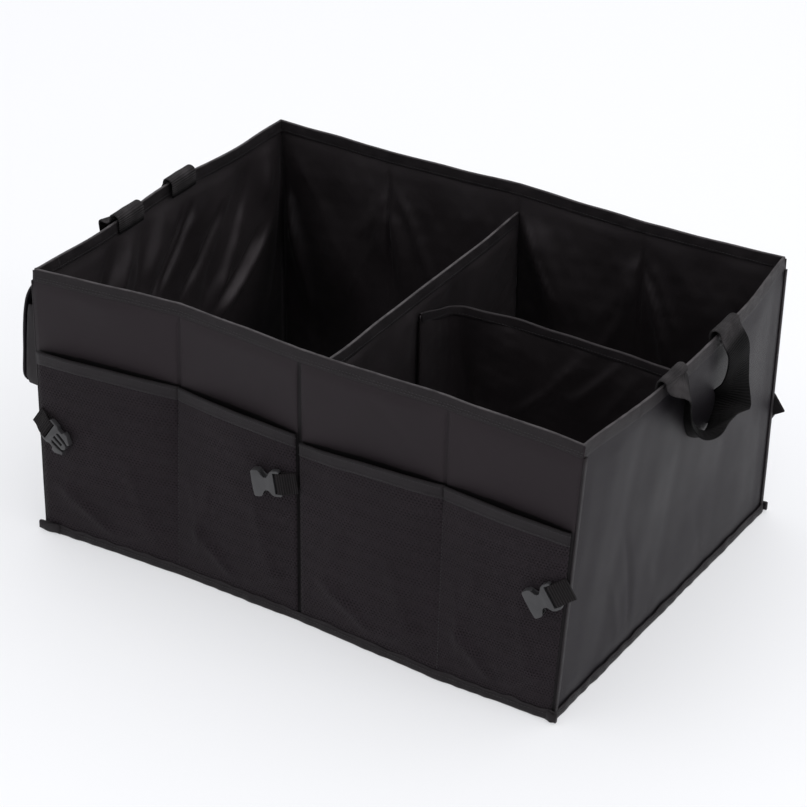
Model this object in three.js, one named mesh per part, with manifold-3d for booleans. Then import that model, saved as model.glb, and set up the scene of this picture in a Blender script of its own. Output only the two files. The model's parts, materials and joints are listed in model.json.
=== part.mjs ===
// Collapsible fabric trunk organizer for a car: a sewn box with stiffened walls, a sewn divider,
// a removable cross divider, mesh pockets, a flap pocket, two webbing handles and buckle halves
// that hold it folded. Millimetres, +X to the right, -Y to the front, +Z up. The origin is on the
// floor under the middle of the box.
import * as THREE from "three";
import { mergeVertices } from "three/addons/utils/BufferGeometryUtils.js";
import Module from "manifold-3d";

const wasm = await Module();
wasm.setup();

// Driving dimensions of the box
const LENGTH = 560;
const WIDTH = 385;
const HEIGHT = 280;
const FABRIC = 0.9;
const BOARD = 2.4;
const GAP = 0.3;
const FOLD_GAP = 5;
const BASE_FABRIC = 1.2;
const BASE_BOARD = 3.0;
const BASE_BOARD_CLEARANCE = 2.5;

// Bindings and seams
const BINDING = 1.1;
const RIM_BAND = 12;
const FOOT_BAND = 7;
const FOOT_BINDING = 2.0;
const CORNER_SEAM = 1.6;
const CORNER_SEAM_WIDTH = 5;

// Fixed divider and removable cross divider
const DIVIDER_BELOW_RIM = 30;
const CROSS_Y = 56;
const CROSS_HEIGHT = 214;
const CROSS_FLANGE = 58;
const CROSS_FLANGE_RISE = 16;
const CROSS_BOW = 9;
const STRIP = 1.2;
const STRIP_WIDTH = 25;
const STRIP_TOP_MARGIN = 12;

// Mesh pockets on the two long sides' front
const MESH = 0.9;
const POCKET_HEIGHT = 196;
const HEM = 1.0;
const HEM_BAND = 13;
const POCKET_SEAM_MARGIN = 2;
const POCKET_SLACK = 9;

// Pocket with a flap on the left end
const FLAP_POCKET_WIDTH = 86;
const FLAP_POCKET_FROM_CORNER = 9;
const FLAP_POCKET_HEIGHT = 86;
const FLAP_HINGE_DROP = 15;
const FLAP_LENGTH = 118;
const FLAP_THICKNESS = 1.8;
const FLAP_STANDOFF = 22;
const FLAP_SHOULDER = 38;
const FLAP_CORNER = 9;
const FLAP_SEAT = 0.7;

// Webbing and buckles
const HANDLE_WIDTH = 38;
const HANDLE_THICKNESS = 1.8;
const HANDLE_SPREAD = 100;
const HANDLE_END = 13;
const LEFT_HANDLE_SPREAD = 86;
const LEFT_HANDLE_FORWARD = 15;
const STRAP_EASE = 0.8;
const TAB_WIDTH = 20;
const TAB_THICKNESS = 1.2;
const TAB_LENGTH = 17;
const BAR_RADIUS = 1.5;
const BAR_CLEARANCE = 0.35;
const BUCKLE_WIDTH = 26;
const BUCKLE_LENGTH = 28;
const BUCKLE_THICKNESS = 8;
const BAR_END_THICKNESS = 5.2;
const SOCKET_HEIGHT = 5.6;
const PLUG_CLEARANCE = 0.4;
const BUCKLE_STANDOFF = 4.8;
const BUCKLE_LIFT_DEG = 8;
const TAB_SEAT = 0.8;
const FRONT_LEFT_TAB_HEIGHT = 129;
const FRONT_CENTRE_TAB_HEIGHT = 148;
const FRONT_RIGHT_TAB_HEIGHT = 140;
const BACK_LEFT_TAB_HEIGHT = 122;
const BACK_CENTRE_TAB_HEIGHT = 146;
const BACK_RIGHT_TAB_HEIGHT = 120;

const WALL = FABRIC * 2 + BOARD + GAP * 2;
const DIVIDER_HEIGHT = HEIGHT - DIVIDER_BELOW_RIM;
const HALF_LENGTH = LENGTH / 2;
const HALF_WIDTH = WIDTH / 2;
const DIVIDER_HALF = BOARD / 2 + GAP + FABRIC;

// How the sewn box stands: each table gives the shift, in millimetres, of the ideal straight box
// at stations spaced evenly along a side, at its rim and at its foot. Straight boards span from
// one fold line to the next, so the walls are flat between stations.
const FRONT_RIM = [[-4, -5, 0], [7, 12, 2], [0, 2, 1], [7, 5, 1], [-2, -1, 0]];
const FRONT_FOOT = [[-6, -7, 0], [5, 0, 0], [0, -1, 0], [10, -9, 0], [-16, -6, 0]];
const BACK_RIM = [[3, -1, 0], [-2, -5, 0], [1, 1, 1], [-2, -4, 0], [0, 0, 1]];
const BACK_FOOT = [[2, 2, 0], [0, 1, 0], [0, 1, 0], [0, 1, 0], [-3, 4, 0]];
const RIGHT_BOW = [[0, 0, 0], [8, 0, -3], [10, 0, -4], [8, 0, -3], [0, 0, 0]];
const LEFT_BOW = [[0, 0, 0], [3, 0, 0], [-5, 0, 1], [1, 0, 0], [0, 0, 0]];
const SIDE_STATIONS = 4;

const lerp = THREE.MathUtils.lerp;
const clamp = THREE.MathUtils.clamp;

function alongTable(table, share) {
  const place = clamp(share, 0, 1) * SIDE_STATIONS;
  const i = Math.min(Math.floor(place), SIDE_STATIONS - 1);
  return new THREE.Vector3().fromArray(table[i])
    .lerp(new THREE.Vector3().fromArray(table[i + 1]), place - i);
}

// Moves a point of the straight box to where the sewn box holds it
function relax(point) {
  const u = clamp((point.x + HALF_LENGTH) / LENGTH, 0, 1);
  const v = clamp((point.y + HALF_WIDTH) / WIDTH, 0, 1);
  const rise = clamp(point.z / HEIGHT, 0, 1);
  const front = alongTable(FRONT_FOOT, u).lerp(alongTable(FRONT_RIM, u), rise);
  const back = alongTable(BACK_FOOT, u).lerp(alongTable(BACK_RIM, u), rise);
  const shift = front.lerp(back, v);
  shift.addScaledVector(alongTable(RIGHT_BOW, v), u ** 3 * rise);
  shift.addScaledVector(alongTable(LEFT_BOW, v), (1 - u) ** 3 * rise);
  return point.clone().add(shift);
}

// Shared cutting lines, so that neighbouring layers bend alike
const CELLS_PER_BOARD = 4;
const END_CELLS = 8;
const X_LINES = evenLines(-HALF_LENGTH, HALF_LENGTH, SIDE_STATIONS * CELLS_PER_BOARD);
const Y_LINES = evenLines(-HALF_WIDTH, HALF_WIDTH, END_CELLS);
const POCKET_HEM_FOOT = POCKET_HEIGHT - HEM_BAND;
const Z_LINES = [...evenLines(0, POCKET_HEM_FOOT, 3), POCKET_HEIGHT, HEIGHT - RIM_BAND];

function evenLines(low, high, cells) {
  return Array.from({ length: cells + 1 }, (_, i) => lerp(low, high, i / cells));
}

function linesWithin(lines, low, high) {
  const inside = lines.filter((line) => line > low + 1 && line < high - 1);
  return [low, ...inside, high];
}

const group = new THREE.Group();

function finish(look) {
  return new THREE.MeshStandardMaterial(look);
}

const CLOTH = { color: 0x1d1b1d, roughness: 0.62, metalness: 0 };
const MESH_CLOTH = { color: 0x171517, roughness: 0.85, metalness: 0 };
const LINING = { color: 0x1a1819, roughness: 0.45, metalness: 0 };
const TAPE = { color: 0x201f20, roughness: 0.7, metalness: 0 };
const WEBBING = { color: 0x1b1a1b, roughness: 0.8, metalness: 0 };
const STIFFENER = { color: 0x2b2a29, roughness: 0.8, metalness: 0 };
const PLASTIC = { color: 0x252426, roughness: 0.4, metalness: 0 };
const HOOK_AND_LOOP = { color: 0x131213, roughness: 0.95, metalness: 0 };

function addMesh(name, geometry, look, parent = group) {
  geometry.deleteAttribute("normal");
  geometry.deleteAttribute("uv");
  const merged = mergeVertices(geometry, 1e-4);
  merged.computeVertexNormals();
  const mesh = new THREE.Mesh(merged, finish(look));
  mesh.name = name;
  parent.add(mesh);
  return mesh;
}

function movePoints(geometry, move) {
  const position = geometry.getAttribute("position");
  const point = new THREE.Vector3();
  for (let i = 0; i < position.count; i += 1) {
    point.fromBufferAttribute(position, i);
    const moved = move(point);
    position.setXYZ(i, moved.x, moved.y, moved.z);
  }
  return geometry;
}

// A straight-sided block whose faces are cut at the given lines, with every cell split the same
// way, so that layers that lie on each other bend alike
function cutBlock(xs, ys, zs) {
  const lines = [xs, ys, zs];
  const points = [];
  for (const [a, b, c] of [[0, 1, 2], [1, 2, 0], [2, 0, 1]]) {
    for (const end of [0, 1]) {
      const at = (i, j) => {
        const p = [0, 0, 0];
        p[a] = lines[a][i];
        p[b] = lines[b][j];
        p[c] = end ? lines[c].at(-1) : lines[c][0];
        return p;
      };
      for (let i = 0; i < lines[a].length - 1; i += 1) {
        for (let j = 0; j < lines[b].length - 1; j += 1) {
          const [p, q, r, s] = [at(i, j), at(i + 1, j), at(i + 1, j + 1), at(i, j + 1)];
          points.push(...(end ? [p, q, r, p, r, s] : [p, r, q, p, s, r]));
        }
      }
    }
  }
  const geometry = new THREE.BufferGeometry();
  geometry.setAttribute("position", new THREE.Float32BufferAttribute(points.flat(), 3));
  return geometry;
}

// A sheet or board of the box: low and high corners in the straight box
function addSheet(name, low, high, look, extra = (p) => p) {
  const geometry = cutBlock(
    linesWithin(X_LINES, low[0], high[0]),
    linesWithin(Y_LINES, low[1], high[1]),
    linesWithin(Z_LINES, low[2], high[2]),
  );
  movePoints(geometry, (p) => relax(extra(p)));
  addMesh(name, geometry, look);
}

// Closed skin over rows of section points; a closed ring joins its last row to its first
function skin(rows, ring) {
  const count = rows[0].length;
  const index = [];
  const quads = ring ? rows.length : rows.length - 1;
  for (let i = 0; i < quads; i += 1) {
    const near = i * count;
    const far = ((i + 1) % rows.length) * count;
    for (let j = 0; j < count; j += 1) {
      const k = (j + 1) % count;
      index.push(near + j, near + k, far + k, near + j, far + k, far + j);
    }
  }
  if (!ring) {
    const last = (rows.length - 1) * count;
    for (const [a, b, c] of capOf(rows[0])) {
      index.push(a, c, b, last + a, last + b, last + c);
    }
  }
  const geometry = new THREE.BufferGeometry();
  geometry.setAttribute("position", new THREE.Float32BufferAttribute(
    rows.flat().flatMap((p) => p.toArray()), 3));
  geometry.setIndex(index);
  return facingOut(geometry);
}

// Triangles that fill a flat section, hollow shapes such as a folded tape's too
function capOf(row) {
  const normal = new THREE.Vector3();
  row.forEach((p, i) => normal.add(p.clone().cross(row[(i + 1) % row.length])));
  normal.normalize();
  const across = row[1].clone().sub(row[0]).normalize();
  const up = normal.clone().cross(across);
  const flat = row.map((p) => new THREE.Vector2(p.dot(across), p.dot(up)));
  return THREE.ShapeUtils.triangulateShape(flat, []);
}

function facingOut(geometry) {
  const position = geometry.getAttribute("position");
  const index = geometry.getIndex();
  const corner = (i) => new THREE.Vector3().fromBufferAttribute(position, index.getX(i));
  let volume = 0;
  for (let i = 0; i < index.count; i += 3) {
    volume += corner(i).dot(corner(i + 1).cross(corner(i + 2)));
  }
  if (volume < 0) {
    for (let i = 0; i < index.count; i += 3) {
      const first = index.getX(i);
      index.setX(i, index.getX(i + 1));
      index.setX(i + 1, first);
    }
  }
  return geometry;
}

// Fabric skins and stiffening boards of the four walls
function addLongWall(side, word) {
  const outer = side * HALF_WIDTH;
  const layer = (from, thickness) => {
    const a = outer - side * from;
    const b = outer - side * (from + thickness);
    return [Math.min(a, b), Math.max(a, b)];
  };
  const inner = HALF_LENGTH - WALL - GAP;
  const floor = BASE_FABRIC + GAP;
  const top = HEIGHT - BINDING - GAP;
  const cloth = layer(0, FABRIC);
  addSheet(`${word}_panel`, [-HALF_LENGTH, cloth[0], 0], [HALF_LENGTH, cloth[1], top], CLOTH);
  const board = layer(FABRIC + GAP, BOARD);
  const quarter = LENGTH / SIDE_STATIONS;
  for (let i = 0; i < SIDE_STATIONS; i += 1) {
    const left = -HALF_LENGTH + i * quarter;
    const from = Math.max(left + FOLD_GAP, -inner);
    const to = Math.min(left + quarter - FOLD_GAP, inner);
    addSheet(`${word}_board_${i + 1}`, [from, board[0], floor], [to, board[1], HEIGHT - RIM_BAND],
      STIFFENER);
  }
  const lining = layer(FABRIC + BOARD + GAP * 2, FABRIC);
  addSheet(`${word}_lining`, [-inner, lining[0], floor], [inner, lining[1], top], LINING);
}

function addEndWall(side, word) {
  const outer = side * HALF_LENGTH;
  const layer = (from, thickness) => {
    const a = outer - side * from;
    const b = outer - side * (from + thickness);
    return [Math.min(a, b), Math.max(a, b)];
  };
  const reach = HALF_WIDTH - FABRIC - GAP;
  const floor = BASE_FABRIC + GAP;
  const top = HEIGHT - BINDING - GAP;
  const cloth = layer(0, FABRIC);
  addSheet(`${word}_end_panel`, [cloth[0], -reach, 0], [cloth[1], reach, top], CLOTH);
  const board = layer(FABRIC + GAP, BOARD);
  const boardReach = reach - FOLD_GAP;
  addSheet(`${word}_end_board`, [board[0], -boardReach, floor],
    [board[1], boardReach, HEIGHT - RIM_BAND], STIFFENER);
  const lining = layer(FABRIC + BOARD + GAP * 2, FABRIC);
  addSheet(`${word}_end_lining`, [lining[0], -reach, floor], [lining[1], reach, top], LINING);
}

// Base cloth between the walls, and the two loose boards that lie on it
function addBase() {
  const x = HALF_LENGTH - FABRIC - GAP;
  const y = HALF_WIDTH - FABRIC - GAP;
  addSheet("base_panel", [-x, -y, 0], [x, y, BASE_FABRIC], CLOTH);
  const near = DIVIDER_HALF + BASE_BOARD_CLEARANCE;
  const far = HALF_LENGTH - WALL - BASE_BOARD_CLEARANCE;
  const reach = HALF_WIDTH - WALL - BASE_BOARD_CLEARANCE;
  const low = BASE_FABRIC + GAP;
  const high = low + BASE_BOARD;
  addSheet("base_board_left", [-far, -reach, low], [-near, reach, high], STIFFENER);
  addSheet("base_board_right", [near, -reach, low], [far, reach, high], STIFFENER);
}

// Walks once round the box, giving each place and its way out, square across the corners
function roundTheBox() {
  const places = [];
  const add = (x, y, outX, outY) => places.push({ x, y, outX, outY });
  const xs = X_LINES.slice(1, -1);
  const ys = Y_LINES.slice(1, -1);
  add(-HALF_LENGTH, -HALF_WIDTH, -1, -1);
  xs.forEach((x) => add(x, -HALF_WIDTH, 0, -1));
  add(HALF_LENGTH, -HALF_WIDTH, 1, -1);
  ys.forEach((y) => add(HALF_LENGTH, y, 1, 0));
  add(HALF_LENGTH, HALF_WIDTH, 1, 1);
  [...xs].reverse().forEach((x) => add(x, HALF_WIDTH, 0, 1));
  add(-HALF_LENGTH, HALF_WIDTH, -1, 1);
  [...ys].reverse().forEach((y) => add(-HALF_LENGTH, y, -1, 0));
  return places;
}

// A tape that runs round the box; its section is a list of [distance out, height]
function addRing(name, section, look) {
  const rows = roundTheBox().map((place) => section.map(([out, z]) => relax(
    new THREE.Vector3(place.x + place.outX * out, place.y + place.outY * out, z))));
  addMesh(name, skin(rows, true), look);
}

function foldedTape(inside, outside, height, band) {
  return [
    [outside + BINDING, height - band], [outside + BINDING, height],
    [-inside - BINDING, height], [-inside - BINDING, height - band],
    [-inside, height - band], [-inside, height - BINDING],
    [outside, height - BINDING], [outside, height - band],
  ];
}

function addBindings() {
  addRing("rim_binding", foldedTape(WALL + GAP, GAP, HEIGHT, RIM_BAND), TAPE);
  const foot = GAP + FOOT_BINDING;
  addRing("foot_binding", [[foot, 0], [foot, FOOT_BAND], [GAP, FOOT_BAND], [GAP, 0]], TAPE);
  const low = FOOT_BAND + GAP;
  const high = HEIGHT - RIM_BAND - GAP;
  for (const [word, sideX, sideY] of [["front_left", -1, -1], ["front_right", 1, -1],
    ["back_left", -1, 1], ["back_right", 1, 1]]) {
    const xs = [sideX * (HALF_LENGTH + GAP), sideX * (HALF_LENGTH + GAP + CORNER_SEAM)];
    const ys = [sideY * (HALF_WIDTH - CORNER_SEAM_WIDTH), sideY * HALF_WIDTH];
    addSheet(`corner_seam_${word}`, [Math.min(...xs), Math.min(...ys), low],
      [Math.max(...xs), Math.max(...ys), high], TAPE);
  }
}

// Sewn divider across the middle: one folded cloth over a board, and a tape on its top edge
function addDivider() {
  const reach = HALF_WIDTH - WALL - GAP;
  const floor = BASE_FABRIC + GAP;
  const top = DIVIDER_HEIGHT - BINDING - GAP;
  const hollow = DIVIDER_HALF - FABRIC;
  addFolded("divider_cover", [[-DIVIDER_HALF, floor], [-DIVIDER_HALF, top],
    [DIVIDER_HALF, top], [DIVIDER_HALF, floor], [hollow, floor], [hollow, top - FABRIC],
    [-hollow, top - FABRIC], [-hollow, floor]], -reach, reach, CLOTH);
  addSheet("divider_board", [-BOARD / 2, -reach, floor], [BOARD / 2, reach, top - FABRIC - GAP],
    STIFFENER);
  const near = DIVIDER_HALF + GAP;
  addFolded("divider_binding", foldedTape(near, near, DIVIDER_HEIGHT, RIM_BAND), -reach, reach,
    TAPE);
}

// A section in the XZ plane, carried along Y through the shared lines
function addFolded(name, section, low, high, look) {
  const rows = linesWithin(Y_LINES, low, high).map((y) => section.map(
    ([x, z]) => relax(new THREE.Vector3(x, y, z))));
  addMesh(name, skin(rows, false), look);
}

// Removable cross divider in the right half. Its turned ends hold by hook-and-loop strips.
const LOOP_FACE = DIVIDER_HALF + GAP;
const HOOK_FACE = LOOP_FACE + STRIP + GAP;
const CROSS_LEFT = HOOK_FACE + STRIP + GAP;
const CROSS_RIGHT = HALF_LENGTH - WALL - GAP - STRIP - GAP - STRIP - GAP;
const CROSS_FLOOR = BASE_FABRIC + BASE_BOARD + GAP * 2;
const CROSS_HALF = DIVIDER_HALF;

// The cloth hangs slack between its held ends, and its turned ends rise towards their free edge
function crossBow(x) {
  const span = clamp((x - CROSS_LEFT) / (CROSS_RIGHT - CROSS_LEFT), 0, 1);
  return CROSS_BOW * Math.sin(Math.PI * span);
}

function crossRise(point) {
  const rise = clamp(point.z / CROSS_HEIGHT, 0, 1);
  const forward = clamp((CROSS_Y - CROSS_HALF - point.y) / CROSS_FLANGE, 0, 1);
  return new THREE.Vector3(point.x, point.y, point.z + CROSS_FLANGE_RISE * forward * rise);
}

function crossDrape(point) {
  return crossRise(point.clone().setY(point.y + crossBow(point.x)));
}

function addCrossDivider() {
  const flange = FABRIC * 2;
  const front = CROSS_Y - CROSS_HALF;
  const back = CROSS_Y + CROSS_HALF;
  const free = front - CROSS_FLANGE;
  const across = linesWithin(X_LINES, CROSS_LEFT, CROSS_RIGHT).slice(1, -1);
  const top = CROSS_HEIGHT - BINDING - GAP;
  const bowed = ([x, y]) => new THREE.Vector2(x, y + crossBow(x));
  const outline = new THREE.Shape([
    [CROSS_LEFT, free], [CROSS_LEFT + flange, free], [CROSS_LEFT + flange, front],
    ...across.map((x) => [x, front]), [CROSS_RIGHT - flange, front],
    [CROSS_RIGHT - flange, free], [CROSS_RIGHT, free], [CROSS_RIGHT, front], [CROSS_RIGHT, back],
    ...[...across].reverse().map((x) => [x, back]), [CROSS_LEFT, back], [CROSS_LEFT, front],
  ].map(bowed));
  const slotFrom = CROSS_LEFT + flange + GAP;
  const slotTo = CROSS_RIGHT - flange - GAP;
  const slot = CROSS_HALF - FABRIC;
  const slotAcross = linesWithin(X_LINES, slotFrom, slotTo);
  outline.holes.push(new THREE.Path([
    ...slotAcross.map((x) => [x, CROSS_Y - slot]),
    ...[...slotAcross].reverse().map((x) => [x, CROSS_Y + slot]),
  ].map(bowed)));
  const cover = new THREE.ExtrudeGeometry(outline, { depth: 1, steps: 3, bevelEnabled: false });
  movePoints(cover, (p) => relax(crossRise(
    new THREE.Vector3(p.x, p.y, lerp(CROSS_FLOOR, top, p.z)))));
  addMesh("cross_divider_cover", cover, CLOTH);
  addSheet("cross_divider_board", [slotFrom + GAP, CROSS_Y - BOARD / 2, CROSS_FLOOR],
    [slotTo - GAP, CROSS_Y + BOARD / 2, top - GAP], STIFFENER, crossDrape);
  addCrossBinding();
  addStrips(free);
}

function addCrossBinding() {
  const near = CROSS_HALF + GAP;
  const margin = FABRIC * 2 + GAP;
  const xs = linesWithin(X_LINES, CROSS_LEFT + margin, CROSS_RIGHT - margin);
  const section = foldedTape(near, near, CROSS_HEIGHT, RIM_BAND);
  const rows = xs.map((x) => section.map(([out, z]) => relax(crossDrape(
    new THREE.Vector3(x, CROSS_Y + out, z)))));
  addMesh("cross_divider_binding", skin(rows, false), TAPE);
}

function addStrips(free) {
  const from = free + FOLD_GAP;
  const high = CROSS_HEIGHT - STRIP_TOP_MARGIN;
  const strip = (name, x) => addSheet(name, [x, from, CROSS_FLOOR],
    [x + STRIP, from + STRIP_WIDTH, high], HOOK_AND_LOOP);
  strip("divider_loop_strip", LOOP_FACE);
  strip("cross_hook_strip_left", HOOK_FACE);
  strip("cross_hook_strip_right", CROSS_RIGHT + GAP);
  strip("end_loop_strip", CROSS_RIGHT + GAP + STRIP + GAP);
}

// Mesh pockets: sewn flat at the foot and at each fold line, slack between them at the top
function pocketSlack(point) {
  const quarter = LENGTH / SIDE_STATIONS;
  const share = ((point.x + HALF_LENGTH) / quarter) % 1;
  const rise = clamp((point.z - FOOT_BAND) / (POCKET_HEIGHT - FOOT_BAND), 0, 1);
  const slack = POCKET_SLACK * Math.sin(Math.PI * share) * rise ** 0.8;
  return new THREE.Vector3(point.x, point.y - slack, point.z);
}

function addPockets() {
  const meshFace = -HALF_WIDTH - GAP;
  const hemFace = meshFace - MESH - GAP;
  for (const [word, from, to] of [["left", -HALF_LENGTH, 0], ["right", 0, HALF_LENGTH]]) {
    const low = from + POCKET_SEAM_MARGIN;
    const high = to - POCKET_SEAM_MARGIN;
    addSheet(`mesh_pocket_${word}`, [low, meshFace - MESH, FOOT_BAND + GAP],
      [high, meshFace, POCKET_HEIGHT], MESH_CLOTH, pocketSlack);
    addSheet(`pocket_hem_${word}`, [low, hemFace - HEM, POCKET_HEM_FOOT],
      [high, hemFace, POCKET_HEIGHT], TAPE, pocketSlack);
  }
}

// A place on a wall's outer face, with its directions along the wall, up it and out of it
function wallFrame(place, along, out) {
  const step = 1;
  const here = relax(place);
  const ahead = relax(place.clone().addScaledVector(along, step)).sub(here).normalize();
  const above = relax(place.clone().setZ(place.z + step)).sub(here).normalize();
  const normal = ahead.clone().cross(above).normalize();
  if (normal.dot(out) < 0) normal.negate();
  return { here, ahead, normal };
}

// A group whose X runs along the wall, turned down by the droop, and whose Z points out of it
function seatOnWall(frame, standoff, droop, lift) {
  const down = new THREE.Vector3(0, 0, -1);
  const across = frame.normal.clone().cross(frame.ahead).normalize();
  const turnSign = Math.sign(across.dot(down)) || 1;
  const x = frame.ahead.clone().applyAxisAngle(frame.normal, turnSign * droop);
  const y = frame.normal.clone().cross(x).normalize();
  x.applyAxisAngle(y, -lift);
  const z = x.clone().cross(y).normalize();
  const seat = new THREE.Group();
  seat.setRotationFromMatrix(new THREE.Matrix4().makeBasis(x, y, z));
  seat.position.copy(frame.here).addScaledVector(frame.normal, standoff);
  group.add(seat);
  return seat;
}

// Small pocket on the left end, with a flap that lifts about its sewn top edge
function addFlapPocket() {
  const fromY = -HALF_WIDTH + FLAP_POCKET_FROM_CORNER;
  const place = new THREE.Vector3(-HALF_LENGTH, fromY + FLAP_POCKET_WIDTH / 2,
    HEIGHT - FLAP_HINGE_DROP);
  const frame = wallFrame(place, new THREE.Vector3(0, 1, 0), new THREE.Vector3(-1, 0, 0));
  const seat = seatOnWall(frame, FLAP_THICKNESS / 2 + FLAP_SEAT, 0, 0);
  const half = FLAP_POCKET_WIDTH / 2;
  addFlap(seat, half);
  addPocketBody(seat, half);
}

// Side view of the flap, as [height, distance out] of its middle line from the sewn edge
const FLAP_LINE = [[0, 0], [-FLAP_SHOULDER * 0.25, FLAP_STANDOFF * 0.42],
  [-FLAP_SHOULDER * 0.6, FLAP_STANDOFF * 0.74], [-FLAP_SHOULDER, FLAP_STANDOFF * 0.92],
  [-FLAP_LENGTH * 0.6, FLAP_STANDOFF * 1.08], [-FLAP_LENGTH + FLAP_CORNER, FLAP_STANDOFF * 1.22],
  [-FLAP_LENGTH, FLAP_STANDOFF * 1.02]];

// The flap's inner face at a height below its sewn edge
function flapInside(h) {
  const at = FLAP_LINE.findIndex(([height]) => height <= h);
  const [above, below] = at < 0 ? FLAP_LINE.slice(-2) : FLAP_LINE.slice(at - 1, at + 1);
  const share = clamp((h - above[0]) / (below[0] - above[0]), 0, 1);
  return lerp(above[1], below[1], share) - FLAP_THICKNESS / 2;
}

function addFlap(seat, half) {
  const t = FLAP_THICKNESS / 2;
  const outline = [...FLAP_LINE.map(([h, out]) => [h, out + t]),
    ...[...FLAP_LINE].reverse().map(([h, out]) => [h, out - t])];
  const rows = [-half, half].map((x) => outline.map(([h, out]) => seatPoint(seat, x, h, out)));
  addMesh("pocket_flap", skin(rows, false), CLOTH);
  addFlapStrip("flap_hook_strip", seat, half / 2, GAP);
}

// A strip of hook and loop that follows the flap's inner face a given distance behind it
function addFlapStrip(name, seat, half, behind) {
  const top = -FLAP_SHOULDER - FOLD_GAP;
  const outline = [top, top - STRIP_WIDTH].flatMap((h, i) => {
    const face = flapInside(h) - behind;
    return i === 0 ? [[h, face - STRIP], [h, face]] : [[h, face], [h, face - STRIP]];
  });
  const rows = [-half, half].map((x) => outline.map(([h, out]) => seatPoint(seat, x, h, out)));
  addMesh(name, skin(rows, false), HOOK_AND_LOOP);
}

// A point given along the wall, up it from the flap's sewn edge, and out of it
function seatPoint(seat, x, h, out) {
  seat.updateMatrixWorld(true);
  return new THREE.Vector3(x, seatUp(seat) * h, out).applyMatrix4(seat.matrixWorld);
}

function seatUp(seat) {
  const y = new THREE.Vector3().setFromMatrixColumn(seat.matrixWorld, 1);
  return y.z < 0 ? -1 : 1;
}

function addPocketBody(seat, half) {
  const foot = -FLAP_LENGTH + FLAP_THICKNESS;
  const mouth = foot + FLAP_POCKET_HEIGHT;
  const face = -FLAP_THICKNESS / 2;
  const t = FABRIC * 2;
  const shell = bodyOf((z) => [[-half, face], [half, face], [half, z], [-half, z]], foot, mouth);
  const hollow = bodyOf((z) => [[-half + t, face + t], [half - t, face + t],
    [half - t, z - t], [-half + t, z - t]], foot + t, mouth + GAP);
  const solid = shell.subtract(hollow);
  const geometry = fromManifold(solid);
  movePoints(geometry, (p) => seatPoint(seat, p.x, p.z, p.y));
  addMesh("flap_pocket", facingOut(geometry), CLOTH);
  addFlapStrip("flap_loop_strip", seat, half / 2, STRIP + GAP * 2);
}

// A solid between two heights whose plan reaches to just behind the flap's strips at each height
function bodyOf(plan, low, high) {
  const inner = FLAP_LINE.map(([h]) => h).filter((h) => h > low + GAP && h < high - GAP);
  const heights = [low, ...inner.reverse(), high];
  const rows = heights.map((h) => plan(flapInside(h) - STRIP * 2 - GAP * 3)
    .map(([x, y]) => new THREE.Vector3(x, y, h)));
  return toManifold(skin(rows, false));
}

function toManifold(geometry) {
  geometry.deleteAttribute("normal");
  geometry.deleteAttribute("uv");
  const merged = mergeVertices(geometry, 1e-4);
  return new wasm.Manifold(new wasm.Mesh({
    numProp: 3,
    vertProperties: new Float32Array(merged.getAttribute("position").array),
    triVerts: new Uint32Array(merged.getIndex().array),
  }));
}

function fromManifold(solid) {
  const mesh = solid.getMesh();
  const geometry = new THREE.BufferGeometry();
  geometry.setAttribute("position", new THREE.Float32BufferAttribute(mesh.vertProperties, 3));
  geometry.setIndex([...mesh.triVerts]);
  return geometry;
}

// Webbing handle: a strap over the rim at each end and a loop that hangs outside. Each stop gives
// its place along the wall, out from it and below the rim, then the way its width faces: turned
// from the front round to the outside and the back, and tilted up.
const STRAP_INSIDE = WALL + GAP + BINDING + GAP + HANDLE_THICKNESS / 2;
const ARCH = WALL / 2 + GAP + BINDING + HANDLE_THICKNESS / 2 + STRAP_EASE;
const LOOP_STOPS = [
  { along: -0.46, out: 12, down: 19, turn: 8, tilt: 0 },
  { along: -0.41, out: 16, down: 38, turn: 30, tilt: 5 },
  { along: -0.28, out: 20, down: 60, turn: 34, tilt: 18 },
  { along: -0.02, out: 22, down: 77, turn: 52, tilt: 31 },
  { along: 0.30, out: 22, down: 84, turn: 86, tilt: 28 },
  { along: 0.54, out: 20, down: 68, turn: 132, tilt: 14 },
  { along: 0.57, out: 15, down: 46, turn: 160, tilt: 0 },
  { along: 0.54, out: 12, down: 19, turn: 172, tilt: 0 },
];
const HANDLE_STOPS = [...overRim(-0.52, 0), ...LOOP_STOPS, ...overRim(0.49, 180).reverse()];
const HANDLE_ROWS = HANDLE_STOPS.length * 2 - 1;

function overRim(along, turn) {
  const middle = -WALL / 2;
  return [[-STRAP_INSIDE, HANDLE_END], [-STRAP_INSIDE, HANDLE_END * 0.6],
    [middle - ARCH, ARCH * 0.2], [middle - ARCH * 0.72, -ARCH * 0.66], [middle, -ARCH],
    [middle + ARCH * 0.72, -ARCH * 0.66], [middle + ARCH, ARCH * 0.2]]
    .map(([out, down]) => ({ along, out, down, turn, tilt: 0 }));
}

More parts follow.
